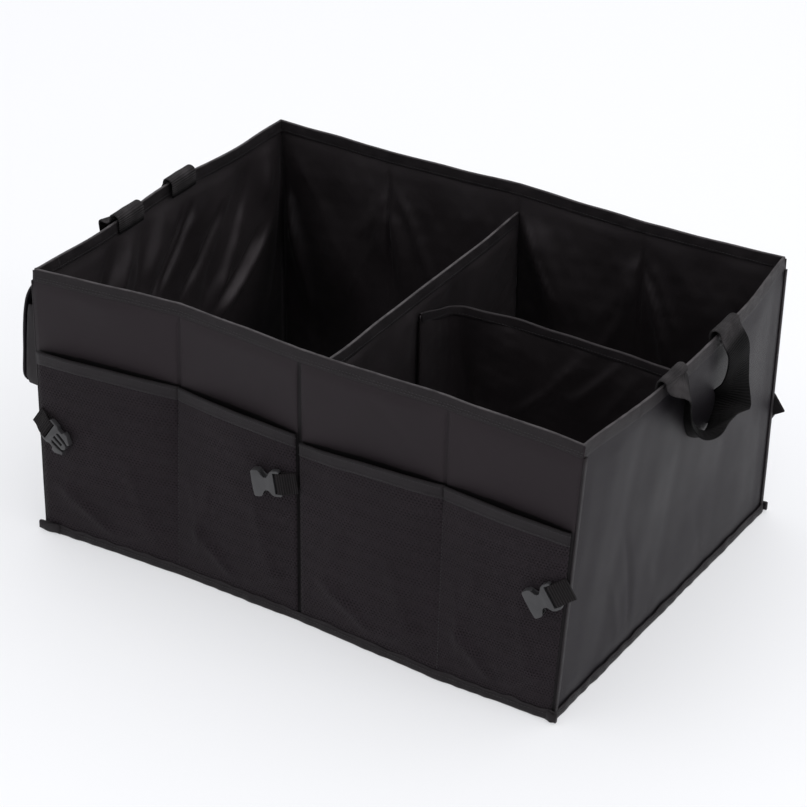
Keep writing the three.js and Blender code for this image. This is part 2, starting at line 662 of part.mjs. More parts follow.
function addHandle(name, side, centre, spread) {
  const place = (stop) => new THREE.Vector3(side * (HALF_LENGTH + stop.out),
    centre + spread * stop.along, HEIGHT - stop.down);
  const curve = new THREE.CatmullRomCurve3(HANDLE_STOPS.map(place), false, "centripetal");
  const last = HANDLE_STOPS.length - 1;
  const rows = [];
  for (let i = 0; i < HANDLE_ROWS; i += 1) {
    const t = i / (HANDLE_ROWS - 1);
    const at = Math.min(Math.floor(t * last), last - 1);
    const share = t * last - at;
    const turn = THREE.MathUtils.degToRad(
      lerp(HANDLE_STOPS[at].turn, HANDLE_STOPS[at + 1].turn, share));
    const tilt = THREE.MathUtils.degToRad(
      lerp(HANDLE_STOPS[at].tilt, HANDLE_STOPS[at + 1].tilt, share));
    const tangent = curve.getTangent(t);
    const width = new THREE.Vector3(side * Math.sin(turn) * Math.cos(tilt),
      -Math.cos(turn) * Math.cos(tilt), Math.sin(tilt));
    width.addScaledVector(tangent, -width.dot(tangent)).normalize();
    const face = tangent.clone().cross(width);
    const middle = curve.getPoint(t);
    const corner = (a, b) => relax(middle.clone()
      .addScaledVector(width, a * HANDLE_WIDTH / 2)
      .addScaledVector(face, b * HANDLE_THICKNESS / 2));
    rows.push([corner(-1, -1), corner(1, -1), corner(1, 1), corner(-1, 1)]);
  }
  addMesh(name, skin(rows, false), WEBBING);
}

// Buckle halves. X runs from the webbing bar to the mouth or tips, Y along the bar, Z outwards.
function extruded(points, axis, length) {
  const shape = new THREE.Shape(points.map(([a, b]) => new THREE.Vector2(a, b)));
  const geometry = new THREE.ExtrudeGeometry(shape, { depth: length, bevelEnabled: false });
  geometry.translate(0, 0, -length / 2);
  if (axis === "y") geometry.rotateX(Math.PI / 2);
  return toManifold(geometry);
}

function block(x, y, z) {
  return extruded([[x[0], y[0]], [x[1], y[0]], [x[1], y[1]], [x[0], y[1]]], "z", z[1] - z[0])
    .translate([0, 0, (z[0] + z[1]) / 2]);
}

function mirroredOutline(half) {
  return [...half, ...[...half].reverse().map(([x, y]) => [x, -y])];
}

const BAR_SIDES = 10;
const LOOP_RADIUS = BAR_RADIUS + BAR_CLEARANCE + TAB_THICKNESS;
const CHEEK = LOOP_RADIUS + 1;
const BAR_SPAN = TAB_WIDTH / 2 + GAP;
const BUCKLE_HALF = BUCKLE_WIDTH / 2;
const BAR_END = -BAR_RADIUS - 1;

function webbingBar() {
  const points = Array.from({ length: BAR_SIDES }, (_, i) => {
    const angle = (2 * Math.PI * i) / BAR_SIDES;
    return [BAR_RADIUS * Math.cos(angle), BAR_RADIUS * Math.sin(angle)];
  });
  return extruded(points, "y", (BAR_SPAN + GAP) * 2);
}

function sideView(end) {
  const thin = BAR_END_THICKNESS / 2;
  const thick = BUCKLE_THICKNESS / 2;
  const shoulder = CHEEK + 4;
  return [[BAR_END, -thin], [CHEEK, -thin], [shoulder, -thick], [end, -thick],
    [end, thick], [shoulder, thick], [CHEEK, thin], [BAR_END, thin]];
}

function socketBuckle() {
  const end = BAR_END + BUCKLE_LENGTH;
  const waist = BUCKLE_WIDTH * 0.24;
  const outline = mirroredOutline([
    [BAR_END, BUCKLE_HALF - 1.6], [BAR_END + 1.4, BUCKLE_HALF - 0.4], [CHEEK, BUCKLE_HALF - 0.4],
    [CHEEK + 2.2, BUCKLE_HALF - 1.4], [CHEEK + 4.6, waist + 1.6], [CHEEK + 6.4, waist],
    [CHEEK + 9, waist], [CHEEK + 10.8, waist + 1.8], [CHEEK + 13, BUCKLE_HALF - 1],
    [CHEEK + 15, BUCKLE_HALF], [end - 1.6, BUCKLE_HALF], [end - 0.4, BUCKLE_HALF - 1.4],
    [end, BUCKLE_HALF * 0.45],
  ]);
  const wall = 2.2;
  return extruded(outline, "z", BUCKLE_THICKNESS)
    .intersect(extruded(sideView(end), "y", BUCKLE_WIDTH + 2))
    .subtract(block([BAR_END - 1, CHEEK], [-BAR_SPAN, BAR_SPAN], [-9, 9]))
    .subtract(block([CHEEK + 3, end + 1], [-BUCKLE_HALF + wall, BUCKLE_HALF - wall],
      [-SOCKET_HEIGHT / 2, SOCKET_HEIGHT / 2]))
    .add(webbingBar());
}

function plugBuckle() {
  const end = BAR_END + BUCKLE_LENGTH + 3;
  const socket = BUCKLE_HALF - 2.2 - PLUG_CLEARANCE;
  const root = CHEEK + 4;
  const half = [
    [BAR_END, BUCKLE_HALF - 2.4], [BAR_END + 1.4, BUCKLE_HALF - 1], [root - 1, BUCKLE_HALF - 1],
    [root + 2, BUCKLE_HALF - 3], [root + 7, BUCKLE_HALF - 3], [root + 8, BUCKLE_HALF],
    [root + 12, BUCKLE_HALF], [end - 3, socket - 1.5], [end - 1, socket - 3],
    [end - 2.4, socket - 5], [end - 8, socket - 3.6], [root + 4, socket - 3.2],
    [root + 2.5, socket - 5], [root + 2.5, 4.4], [end - 4.5, 3.4], [end - 2.6, 1.8],
    [end - 2.2, 0.9],
  ];
  const plate = extruded(mirroredOutline(half), "z", SOCKET_HEIGHT - PLUG_CLEARANCE * 2);
  const tongueSlot = block([root + 2, end - 7], [-1.5, 1.5], [-9, 9]);
  return plate.subtract(tongueSlot)
    .subtract(block([BAR_END - 1, CHEEK], [-BAR_SPAN, BAR_SPAN], [-9, 9]))
    .add(webbingBar());
}

// Webbing tab: two sewn layers that part to pass round the buckle's bar
function webbingTab(length, drop) {
  const outer = LOOP_RADIUS;
  const inner = BAR_RADIUS + BAR_CLEARANCE;
  const sides = 8;
  const arc = (radius, from, to) => Array.from({ length: sides + 1 }, (_, i) => {
    const angle = lerp(from, to, i / sides);
    return new THREE.Vector2(radius * Math.cos(angle), radius * Math.sin(angle));
  });
  const quarter = Math.PI / 2;
  const shape = new THREE.Shape([
    new THREE.Vector2(-length, -drop - TAB_THICKNESS), ...arc(outer, -quarter, quarter),
    new THREE.Vector2(-length, -drop + TAB_THICKNESS),
  ]);
  shape.holes.push(new THREE.Path([...arc(inner, quarter, -quarter),
    new THREE.Vector2(-inner * 1.9, -drop * 0.1)]));
  const geometry = new THREE.ExtrudeGeometry(shape, { depth: TAB_WIDTH, bevelEnabled: false });
  geometry.translate(0, 0, -TAB_WIDTH / 2);
  geometry.rotateX(Math.PI / 2);
  return geometry;
}

// Where the buckle halves hang: x of the seam, way along the wall, droop in degrees, and on each
// long side the height at the seam and how far the webbing stands past the corner
const BUCKLES = [
  { word: "left", plug: true, x: -HALF_LENGTH, way: 1, droop: 34,
    front: { z: FRONT_LEFT_TAB_HEIGHT, past: 2 },
    back: { z: BACK_LEFT_TAB_HEIGHT, past: 6 } },
  { word: "centre", plug: false, x: 0, way: -1, droop: 11,
    front: { z: FRONT_CENTRE_TAB_HEIGHT, past: 0 },
    back: { z: BACK_CENTRE_TAB_HEIGHT, past: 0 } },
  { word: "right", plug: false, x: HALF_LENGTH, way: -1, droop: 35,
    front: { z: FRONT_RIGHT_TAB_HEIGHT, past: 5 },
    back: { z: BACK_RIGHT_TAB_HEIGHT, past: 8 } },
];

function addBuckles(side, wallWord) {
  const out = new THREE.Vector3(0, side, 0);
  const skinOut = side < 0 ? GAP + MESH : 0;
  for (const spec of BUCKLES) {
    const { z, past } = side < 0 ? spec.front : spec.back;
    const droop = THREE.MathUtils.degToRad(spec.droop);
    const reach = TAB_LENGTH - past;
    const place = new THREE.Vector3(spec.x + spec.way * reach * Math.cos(droop), side * HALF_WIDTH,
      z - reach * Math.sin(droop));
    const frame = wallFrame(place, new THREE.Vector3(spec.way, 0, 0), out);
    const lift = THREE.MathUtils.degToRad(side < 0 ? BUCKLE_LIFT_DEG : 0);
    const slackHere = side < 0 ? -pocketSlack(place).y - HALF_WIDTH : 0;
    const standoff = skinOut + slackHere + BUCKLE_STANDOFF;
    const seat = seatOnWall(frame, standoff, droop, lift);
    const drop = standoff - skinOut - TAB_THICKNESS - TAB_SEAT - TAB_LENGTH * Math.sin(lift);
    addMesh(`webbing_tab_${wallWord}_${spec.word}`, webbingTab(TAB_LENGTH, drop), WEBBING, seat);
    const solid = spec.plug ? plugBuckle() : socketBuckle();
    const kind = spec.plug ? "plug" : "socket";
    addMesh(`buckle_${kind}_${wallWord}_${spec.word}`, fromManifold(solid), PLASTIC, seat);
  }
}

addLongWall(-1, "front");
addLongWall(1, "back");
addEndWall(-1, "left");
addEndWall(1, "right");
addBase();
addBindings();
addDivider();
addCrossDivider();
addPockets();
addFlapPocket();
addHandle("right_handle", 1, 0, HANDLE_SPREAD);
addHandle("left_handle", -1, -LEFT_HANDLE_FORWARD, LEFT_HANDLE_SPREAD);
addBuckles(-1, "front");
addBuckles(1, "back");

export default group;
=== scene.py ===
import json
import math

import bpy
import bmesh
import numpy as np
from mathutils import Matrix, Vector


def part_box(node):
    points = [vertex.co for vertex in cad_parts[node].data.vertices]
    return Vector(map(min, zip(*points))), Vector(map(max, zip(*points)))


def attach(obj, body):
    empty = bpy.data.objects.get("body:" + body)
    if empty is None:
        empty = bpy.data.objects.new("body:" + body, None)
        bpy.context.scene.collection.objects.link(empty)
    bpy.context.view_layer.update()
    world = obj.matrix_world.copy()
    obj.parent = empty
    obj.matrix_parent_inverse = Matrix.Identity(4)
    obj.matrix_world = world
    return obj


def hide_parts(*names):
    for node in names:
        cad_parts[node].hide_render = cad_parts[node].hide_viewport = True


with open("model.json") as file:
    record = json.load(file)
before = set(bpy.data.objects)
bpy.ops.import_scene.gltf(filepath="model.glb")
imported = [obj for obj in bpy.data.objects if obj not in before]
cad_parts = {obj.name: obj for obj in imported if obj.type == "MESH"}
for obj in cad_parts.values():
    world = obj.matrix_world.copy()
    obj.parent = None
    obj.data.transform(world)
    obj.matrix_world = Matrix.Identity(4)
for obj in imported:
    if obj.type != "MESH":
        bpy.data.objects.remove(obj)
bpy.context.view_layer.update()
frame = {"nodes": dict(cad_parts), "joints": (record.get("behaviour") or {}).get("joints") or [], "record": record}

# %% [markdown]
# A car trunk organizer is a fabric box that folds flat. Boards are sewn between an outer cloth
# and a lining, tape binds the rim and the foot, and mesh pockets cover the long front. This
# lesson dresses plain solids of that box with cloth, tape, webbing and moulded plastic. Sizes
# are in millimetres while a shape is worked out, and become metres when its mesh is made.

# %% Sizes of the box and its layers
LONG, DEEP, TALL = 560.0, 385.0, 280.0
CLOTH, BOARD, GAP = 0.9, 2.4, 0.3
WALL = CLOTH * 2 + BOARD + GAP * 2
BINDING, RIM_BAND, FOOT_BAND = 1.1, 12.0, 7.0
DIVIDER_HEIGHT = 250.0
DIVIDER_HALF = BOARD / 2 + GAP + CLOTH
POCKET_HEIGHT, HEM_BAND = 196.0, 13.0
QUARTER = LONG / 4
METRE, UP = 0.001, np.array([0, 0, 1.0])
print("wall thickness", WALL, "mm")

# %% [markdown]
# A sewn box never stands square. Each table holds the shift of a straight box at five places
# along a side, at the rim and at the foot, so every layer of a wall leans and bends alike. The
# boards are stiff between the fold lines, so the long sides use straight lines between places.
# An end has one board, which bows in a smooth curve.

# %% How the sewn box leans and bows
FRONT_RIM = np.array([[-4, -5, 0], [7, 12, 2], [0, 2, 1], [7, 5, 1], [-2, -1, 0]], float)
FRONT_FOOT = np.array([[-6, -7, 0], [5, 0, 0], [0, -1, 0], [10, -9, 0], [-16, -6, 0]], float)
BACK_RIM = np.array([[3, -1, 0], [-2, -5, 0], [1, 1, 1], [-2, -4, 0], [0, 0, 1]], float)
BACK_FOOT = np.array([[2, 2, 0], [0, 1, 0], [0, 1, 0], [0, 1, 0], [-3, 4, 0]], float)
RIGHT_BOW = np.array([[0, 0, 0], [8, 0, -3], [10, 0, -4], [8, 0, -3], [0, 0, 0]], float)
LEFT_BOW = np.array([[0, 0, 0], [3, 0, 0], [-5, 0, 1], [1, 0, 0], [0, 0, 0]], float)


def straight_between(table, share):
    place = np.clip(share, 0, 1) * (len(table) - 1)
    low = np.minimum(place.astype(int), len(table) - 2)
    part = (place - low)[..., None]
    return table[low] * (1 - part) + table[low + 1] * part


def smooth_between(table, share):
    place = np.clip(share, 0, 1) * (len(table) - 1)
    low = np.minimum(place.astype(int), len(table) - 2)
    part = (place - low)[..., None]
    before, after = table[np.maximum(low - 1, 0)], table[np.minimum(low + 2, len(table) - 1)]
    near, far = table[low], table[low + 1]
    return near + 0.5 * part * (far - before + part * (
        2 * before - 5 * near + 4 * far - after + part * (3 * (near - far) + after - before)))


def sewn(points):
    """Moves points of the straight box to where the sewn box holds them."""
    p = np.asarray(points, float)
    along = np.clip((p[..., 0] + LONG / 2) / LONG, 0, 1)
    deep = np.clip((p[..., 1] + DEEP / 2) / DEEP, 0, 1)
    rise = np.clip(p[..., 2] / TALL, 0, 1)[..., None]
    front = straight_between(FRONT_FOOT, along) * (1 - rise)
    front = front + straight_between(FRONT_RIM, along) * rise
    back = straight_between(BACK_FOOT, along) * (1 - rise)
    back = back + straight_between(BACK_RIM, along) * rise
    shift = front * (1 - deep[..., None]) + back * deep[..., None]
    shift = shift + smooth_between(RIGHT_BOW, deep) * (along ** 3)[..., None] * rise
    shift = shift + smooth_between(LEFT_BOW, deep) * ((1 - along) ** 3)[..., None] * rise
    return p + shift


print("front left rim corner:", sewn(np.array([-LONG / 2, -DEEP / 2, TALL])).round(1))

# %% [markdown]
# Cloth needs helpers of its own: lines that are close together at a fold and far apart on the
# flat, a soft ripple, and a crease with a start and an end. A sculpting brush or a displacement
# map could wrinkle a plane too, but a crease that is written down lies where the photograph has
# it, and can be moved by changing one number.

# %% Lines, ripples and creases
def even_lines(low, high, step):
    return np.linspace(low, high, max(2, int(round((high - low) / step)) + 1))


def lines_with_folds(low, high, step, folds, near=(0.7, 1.5, 2.6, 4.2)):
    lines = list(even_lines(low, high, step))
    for fold in folds:
        lines = [v for v in lines if abs(v - fold) > near[-1] + 0.4 or v in (low, high)]
        extra = [fold] + [fold + side * gap for gap in near for side in (-1, 1)]
        lines += [v for v in extra if low < v < high]
    return np.array(sorted(set(lines)))


def ease(value):
    value = np.clip(value, 0, 1)
    return value * value * (3 - 2 * value)


def ripple(x, y, seed, length, height, waves=9):
    """Soft uneven waves about `length` long, the same in every run."""
    chance = np.random.default_rng(seed)
    total = 0.0
    for _ in range(waves):
        turn = chance.uniform(0, math.tau)
        size = length * chance.uniform(0.6, 1.7)
        total = total + np.sin((x * math.cos(turn) + y * math.sin(turn)) * math.tau / size
                               + chance.uniform(0, math.tau))
    return height * total / math.sqrt(waves)


def crease(x, y, start, end, width, height):
    """A ridge (or with a negative height a groove) from start to end that fades at both."""
    dx, dy = end[0] - start[0], end[1] - start[1]
    length = math.hypot(dx, dy)
    share = ((x - start[0]) * dx + (y - start[1]) * dy) / length ** 2
    off = ((y - start[1]) * dx - (x - start[0]) * dy) / length
    bend = 0.04 * length * np.sin(np.clip(share, 0, 1) * math.pi)
    fade = ease(np.minimum(share, 1 - share) * 3.5)
    return height * fade * np.exp(-np.abs((off - bend) / width) ** 1.6)


def unit(v):
    return v / np.maximum(np.linalg.norm(v, axis=-1, keepdims=True), 1e-9)


def creases(x, y, rows):
    """Several creases at once; each row has a start, an end, a width and a height."""
    return sum(crease(x, y, *row) for row in rows)


def groove(x, at, width, depth):
    return -depth * np.exp(-((x - at) / width) ** 2)


print("a crease of 2 mm is", crease(5.0, 0.0, (0, 0), (10, 0), 4, 2.0).round(2), "mm high inside")

# %% [markdown]
# Each piece of cloth is a closed sheet: a seen face and a hidden face with a hem between them,
# so it keeps its thickness. Tape and webbing are swept: a section is carried along a path. Both
# take a UV map measured in metres, so a weave has its true size on every piece.

# %% Meshes from grids of points
def link_mesh(name, points, faces, uv):
    """A smooth mesh from points and a UV map in millimetres, with its faces turned outwards."""
    mesh = bpy.data.meshes.new(name)
    mesh.from_pydata((np.asarray(points) * METRE).tolist(), [], faces)
    layer = mesh.uv_layers.new(name="UVMap")
    corner = np.empty(len(mesh.loops), dtype=np.int32)
    mesh.loops.foreach_get("vertex_index", corner)
    layer.data.foreach_set("uv", (np.asarray(uv, float)[corner] * METRE).ravel())
    mesh.polygons.foreach_set("use_smooth", [True] * len(mesh.polygons))
    obj = bpy.data.objects.new(name, mesh)
    bpy.context.collection.objects.link(obj)
    shell = bmesh.new()
    shell.from_mesh(mesh)
    bmesh.ops.recalc_face_normals(shell, faces=shell.faces)
    shell.to_mesh(mesh)
    shell.free()
    return obj


def grid_faces(rows, columns):
    faces = []
    for a in range(0, (rows - 1) * columns, columns):
        b = a + columns
        faces += [(a + j, b + j, b + j + 1, a + j + 1) for j in range(columns - 1)]
    return faces


def closed_sheet(name, face, back, uv):
    """One closed layer of cloth from the points of its two faces, each rows x columns x 3."""
    rows, columns = face.shape[:2]
    count = rows * columns
    points = np.vstack([face.reshape(-1, 3), back.reshape(-1, 3)])
    faces = grid_faces(rows, columns)
    faces += [tuple(reversed([i + count for i in f])) for f in grid_faces(rows, columns)]
    edge = [i * columns for i in range(rows)]
    edge += [(rows - 1) * columns + j for j in range(1, columns)]
    edge += [i * columns + columns - 1 for i in range(rows - 2, -1, -1)]
    edge += [j for j in range(columns - 2, 0, -1)]
    for i, a in enumerate(edge):
        b = edge[(i + 1) % len(edge)]
        faces.append((a, b, b + count, a + count))
    flat = uv.reshape(-1, 2)
    return link_mesh(name, points, faces, np.vstack([flat, flat]))


def swept(name, rows, wrap=False):
    """A closed tube from rows of section points; the UV runs along the rows and round them."""
    rows = np.asarray(rows, float)
    count, size = rows.shape[:2]
    ringed = np.concatenate([rows, rows[:, :1]], axis=1)
    steps = np.linalg.norm(np.diff(rows.mean(axis=1), axis=0), axis=1)
    along = np.concatenate([[0], np.cumsum(steps)])
    around = np.linalg.norm(np.diff(ringed, axis=1), axis=2).mean(axis=0)
    around = np.concatenate([[0], np.cumsum(around)])[:size]
    faces = []
    for i in range(count if wrap else count - 1):
        a, b = i * size, ((i + 1) % count) * size
        faces += [(a + j, b + j, b + (j + 1) % size, a + (j + 1) % size) for j in range(size)]
    if not wrap:
        faces.append(tuple(range(size)))
        faces.append(tuple((count - 1) * size + j for j in reversed(range(size))))
    uv = np.stack(np.broadcast_arrays(along[:, None], around[None, :]), axis=-1).reshape(-1, 2)
    return link_mesh(name, rows.reshape(-1, 3), faces, uv)


def mark(piece, share):
    """Writes the attribute called fold, one number from 0 to 1 for each point."""
    layer = piece.data.attributes.new("fold", "FLOAT", "POINT")
    layer.data.foreach_set("value", np.asarray(share, float).ravel())


def mark_sheet(piece, share):
    """Marks a closed sheet, whose points are those of its face and then those of its back."""
    mark(piece, np.tile(share.ravel(), 2))


def made_plain(piece):
    """Turns what the modifiers of a piece make into its own smooth mesh."""
    bpy.context.view_layer.update()
    made = bpy.data.meshes.new_from_object(
        piece.evaluated_get(bpy.context.evaluated_depsgraph_get()))
    piece.modifiers.clear()
    piece.data = made
    made.polygons.foreach_set("use_smooth", [True] * len(made.polygons))
    return made


def triangles(obj):
    return sum(len(p.vertices) - 2 for p in obj.data.polygons)


def dress(piece, body, material, *nodes, slot):
    """Gives a finished piece its body, its material and the solids that it stands for."""
    piece.data.materials.clear()
    piece.data.materials.append(material)
    if nodes:
        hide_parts(*nodes)
    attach(piece, body)
    print(f"{piece.name}: {triangles(piece)} triangles")
    return piece


print("helpers ready")

# %% [markdown]
# Everything here is black, so each cloth is told apart by its weave, its shine and how rough it
# is. A few short functions make the nodes that every material needs, so that each material is
# only a list of what is special about it.

# %% A small kit for node materials
def new_material(name):
    material = bpy.data.materials.new(name)
    material.use_nodes = True
    nodes, links = material.node_tree.nodes, material.node_tree.links
    return material, nodes, links, nodes["Principled BSDF"]


def settings(node, values):
    for key, value in values.items():
        node.inputs[key].default_value = value


def math_node(nodes, links, kind, first, second=None, third=None):
    node = nodes.new("ShaderNodeMath")
    node.operation = kind
    for index, value in enumerate((first, second, third)):
        if value is None:
            continue
        if isinstance(value, (int, float)):
            node.inputs[index].default_value = value
        else:
            links.new(value, node.inputs[index])
    return node.outputs[0]


def waves_across(nodes, links, coordinate, pitch):
    turns = math_node(nodes, links, "MULTIPLY", coordinate, math.tau / pitch)
    return math_node(nodes, links, "SINE", turns)


def soft_noise(nodes, links, scale, detail=3.0):
    place = nodes.new("ShaderNodeTexCoord")
    noise = nodes.new("ShaderNodeTexNoise")
    settings(noise, {"Scale": scale, "Detail": detail})
    links.new(place.outputs["Object"], noise.inputs["Vector"])
    return noise.outputs["Fac"]


def between(nodes, links, factor, low, high, from_low=0.35, from_high=0.65):
    span = nodes.new("ShaderNodeMapRange")
    settings(span, {"From Min": from_low, "From Max": from_high, "To Min": low, "To Max": high})
    links.new(factor, span.inputs["Value"])
    return span.outputs["Result"]


def colours_between(nodes, links, factor, dark, light):
    mix = nodes.new("ShaderNodeMix")
    mix.data_type = "RGBA"
    mix.inputs[6].default_value = (*dark, 1)
    mix.inputs[7].default_value = (*light, 1)
    links.new(factor, mix.inputs[0])
    return mix.outputs[2]


def add_bump(nodes, links, height, distance):
    bump = nodes.new("ShaderNodeBump")
    bump.inputs["Distance"].default_value = distance
    links.new(height, bump.inputs["Height"])
    return bump.outputs["Normal"]


def uv_axes(nodes, links):
    place = nodes.new("ShaderNodeTexCoord")
    split = nodes.new("ShaderNodeSeparateXYZ")
    links.new(place.outputs["UV"], split.inputs[0])
    return split.outputs[0], split.outputs[1]


def finish(links, shader, colour, roughness, normal=None):
    links.new(colour, shader.inputs["Base Color"])
    links.new(roughness, shader.inputs["Roughness"])
    if normal is not None:
        links.new(normal, shader.inputs["Normal"])


# %% [markdown]
# The outer cloth is a plain weave with a satin face. Its threads are a bump: two sine waves that
# cross on the UV map. Soft noise in Object coordinates makes the colour and the shine uneven, as
# handled cloth is, and a slight sheen lights the threads at grazing angles. Tape, lining and
# hook-and-loop pile are the same weave with other threads. Where a mesh is marked, a second
# colour is mixed in as painted light: a painted highlight on the lit top of a tape or a strap, and
# painted shade in a pocket's mouth, a groove or a dark corner of the lining.

# %% Woven cloths
def woven(name, dark, light, rough, sheen, pitch, depth, specular=0.4, patch=9.0):
    material, nodes, links, shader = new_material(name)
    u, v = uv_axes(nodes, links)
    weave = math_node(nodes, links, "MULTIPLY", waves_across(nodes, links, u, pitch),
                      waves_across(nodes, links, v, pitch))
    patches = soft_noise(nodes, links, patch)
    grain = soft_noise(nodes, links, 900.0, 1.0)
    grain_share = 0.35
    mixed = math_node(nodes, links, "MULTIPLY_ADD", grain, grain_share, patches)
    mixed = math_node(nodes, links, "SUBTRACT", mixed, grain_share / 2)
    colour = colours_between(nodes, links, between(nodes, links, mixed, 0, 1), dark, light)
    roughness = between(nodes, links, patches, rough - 0.05, rough + 0.06)
    finish(links, shader, colour, roughness, add_bump(nodes, links, weave, depth))
    settings(shader, {"Specular IOR Level": specular, "Specular Tint": (1.0, 0.91, 0.96, 1),
                      "Sheen Weight": sheen, "Sheen Roughness": 0.45,
                      "Sheen Tint": (0.8, 0.78, 0.82, 1)})
    return material


def tinted_where_marked(material, tint, low=0.35):
    """Mixes a colour in where the attribute called fold is 1: a painted highlight or painted shade."""
    nodes, links = material.node_tree.nodes, material.node_tree.links
    colour = nodes["Principled BSDF"].inputs["Base Color"]
    cloth = colour.links[0].from_socket
    fold = nodes.new("ShaderNodeAttribute")
    fold.attribute_name = "fold"
    # how much painted highlight or painted shade is mixed in at each point
    painted_share = math_node(nodes, links, "MULTIPLY", fold.outputs["Fac"],
                    between(nodes, links, soft_noise(nodes, links, 70.0), low, 1.0))
    mix = nodes.new("ShaderNodeMix")
    mix.data_type = "RGBA"
    links.new(painted_share, mix.inputs[0])
    links.new(cloth, mix.inputs[6])
    mix.inputs[7].default_value = (*tint, 1)
    links.new(mix.outputs[2], colour)
    return material


def tape_look(name, dark, light, painted_light_tone):
    """A coarser weave for tapes; its last colour is painted where the tape is marked, as a painted highlight or
    painted shade.
    """
    cloth = woven(name, dark, light, 0.50, 0.03, 0.0013, 0.00012, specular=0.24, patch=60.0)
    return tinted_where_marked(cloth, painted_light_tone)


# Its second colour is near black: painted shade inside the pockets and in the grooves of the seam and fold lines.
outer_cloth = tinted_where_marked(
    woven("outer_cloth", (0.0110, 0.0078, 0.0093), (0.0150, 0.0110, 0.0129),
          0.56, 0.02, 0.0011, 0.00006, specular=0.22),
    (0.0004, 0.0003, 0.0003), 1.0)
end_cloth = woven("end_cloth", (0.0060, 0.0049, 0.0065), (0.0086, 0.0071, 0.0093),
                  0.50, 0.02, 0.0011, 0.00005, specular=0.17)
# Its second colour is near black: painted shade in the triangles under the seams' ends.
lining_cloth = tinted_where_marked(
    woven("lining_cloth", (0.0086, 0.0068, 0.0074), (0.0150, 0.0122, 0.0130),
          0.45, 0.03, 0.0009, 0.00003, specular=0.70),
    (0.0008, 0.0005, 0.0006), 0.8)
pile = woven("hook_and_loop_pile", (0.0040, 0.0038, 0.0040), (0.0090, 0.0085, 0.0090),
             0.85, 0.10, 0.0016, 0.00030, specular=0.15)
# Each tape's last colour is painted light: a painted highlight on the lit top of the rim, divider, cross divider
# and foot tapes, and near-black painted shade on the top of a pocket hem.
tape_cloth = tape_look("tape_cloth", (0.0048, 0.0038, 0.0042), (0.0108, 0.0088, 0.0096),
                       (0.085, 0.078, 0.080))
inner_tape = tape_look("inner_tape_cloth", (0.0040, 0.0030, 0.0034), (0.0080, 0.0062, 0.0069),
                       (0.046, 0.042, 0.043))
hem_cloth = tape_look("hem_cloth", (0.0036, 0.0026, 0.0032), (0.0086, 0.0066, 0.0078),
                      (0.0006, 0.0005, 0.0005))
foot_cloth = tape_look("foot_tape_cloth", (0.0030, 0.0024, 0.0027), (0.0070, 0.0056, 0.0062),
                       (0.020, 0.018, 0.019))
print("cloths:", [m.name for m in (outer_cloth, end_cloth, lining_cloth, tape_cloth, inner_tape,
                                   hem_cloth, foot_cloth)])

# %% [markdown]
# The pockets are a knitted mesh: rows of small slanted holes between thicker threads. One hole
# is about 3 mm wide, so it is drawn by the material. Two slanted waves on the UV map cross, and
# where both are low there is a hole, which is darker, deeper and dull. Fine noise breaks the
# rows up, as pulled threads do.

# %% Pocket mesh, webbing, board and moulded plastic
def knitted_mesh():
    material, nodes, links, shader = new_material("pocket_mesh")
    u, v = uv_axes(nodes, links)
    slope, hole_pitch, row_pitch = 0.55, 0.0034, 0.0026
    slant = math_node(nodes, links, "MULTIPLY_ADD", v, slope, u)
    lean = math_node(nodes, links, "MULTIPLY_ADD", v, -slope, u)
    one = waves_across(nodes, links, slant, hole_pitch)
    two = waves_across(nodes, links, lean, hole_pitch)
    rows = waves_across(nodes, links, v, row_pitch)
    net = math_node(nodes, links, "MAXIMUM", one, two)
    net = math_node(nodes, links, "MAXIMUM", net, math_node(nodes, links, "MULTIPLY", rows, 0.8))
    thread = between(nodes, links, net, 0, 1, 0.0, 0.75)
    patches = soft_noise(nodes, links, 14.0)
    tone = math_node(nodes, links, "MULTIPLY", thread, between(nodes, links, patches, 0.75, 1.0))
    snags = soft_noise(nodes, links, 330.0, 2.0)
    tone = math_node(nodes, links, "MULTIPLY", tone, between(nodes, links, snags, 0.5, 1.1))
    colour = colours_between(nodes, links, tone, (0.0040, 0.0028, 0.0035),
                             (0.0158, 0.0117, 0.0143))
    roughness = between(nodes, links, thread, 0.95, 0.72, 0, 1)
    finish(links, shader, colour, roughness, add_bump(nodes, links, thread, 0.0004))
    settings(shader, {"Specular IOR Level": 0.18, "Specular Tint": (1.0, 0.88, 0.96, 1),
                      "Sheen Weight": 0.02, "Sheen Roughness": 0.5})
    return material


def ribbed_webbing(name, dark, light, specular=0.12):
    material, nodes, links, shader = new_material(name)
    u, v = uv_axes(nodes, links)
    rib_pitch, thread_pitch = 0.0022, 0.0009
    ribs = waves_across(nodes, links, u, rib_pitch)
    threads = waves_across(nodes, links, v, thread_pitch)
    height = math_node(nodes, links, "MULTIPLY_ADD", threads, 0.35, ribs)
    patches = soft_noise(nodes, links, 30.0)
    colour = colours_between(nodes, links, between(nodes, links, height, 0, 1, -1, 1), dark, light)
    roughness = between(nodes, links, patches, 0.62, 0.78)
    finish(links, shader, colour, roughness, add_bump(nodes, links, height, 0.00028))
    settings(shader, {"Specular IOR Level": specular, "Sheen Weight": 0.01})
    return material


def moulded_plastic():
    material, nodes, links, shader = new_material("buckle_plastic")
    patches = soft_noise(nodes, links, 60.0)
    grain = soft_noise(nodes, links, 2400.0, 2.0)
    colour = colours_between(nodes, links, between(nodes, links, patches, 0, 1),
                             (0.030, 0.029, 0.031), (0.044, 0.043, 0.045))
    roughness = between(nodes, links, patches, 0.36, 0.46)
    finish(links, shader, colour, roughness, add_bump(nodes, links, grain, 0.00003))
    return material


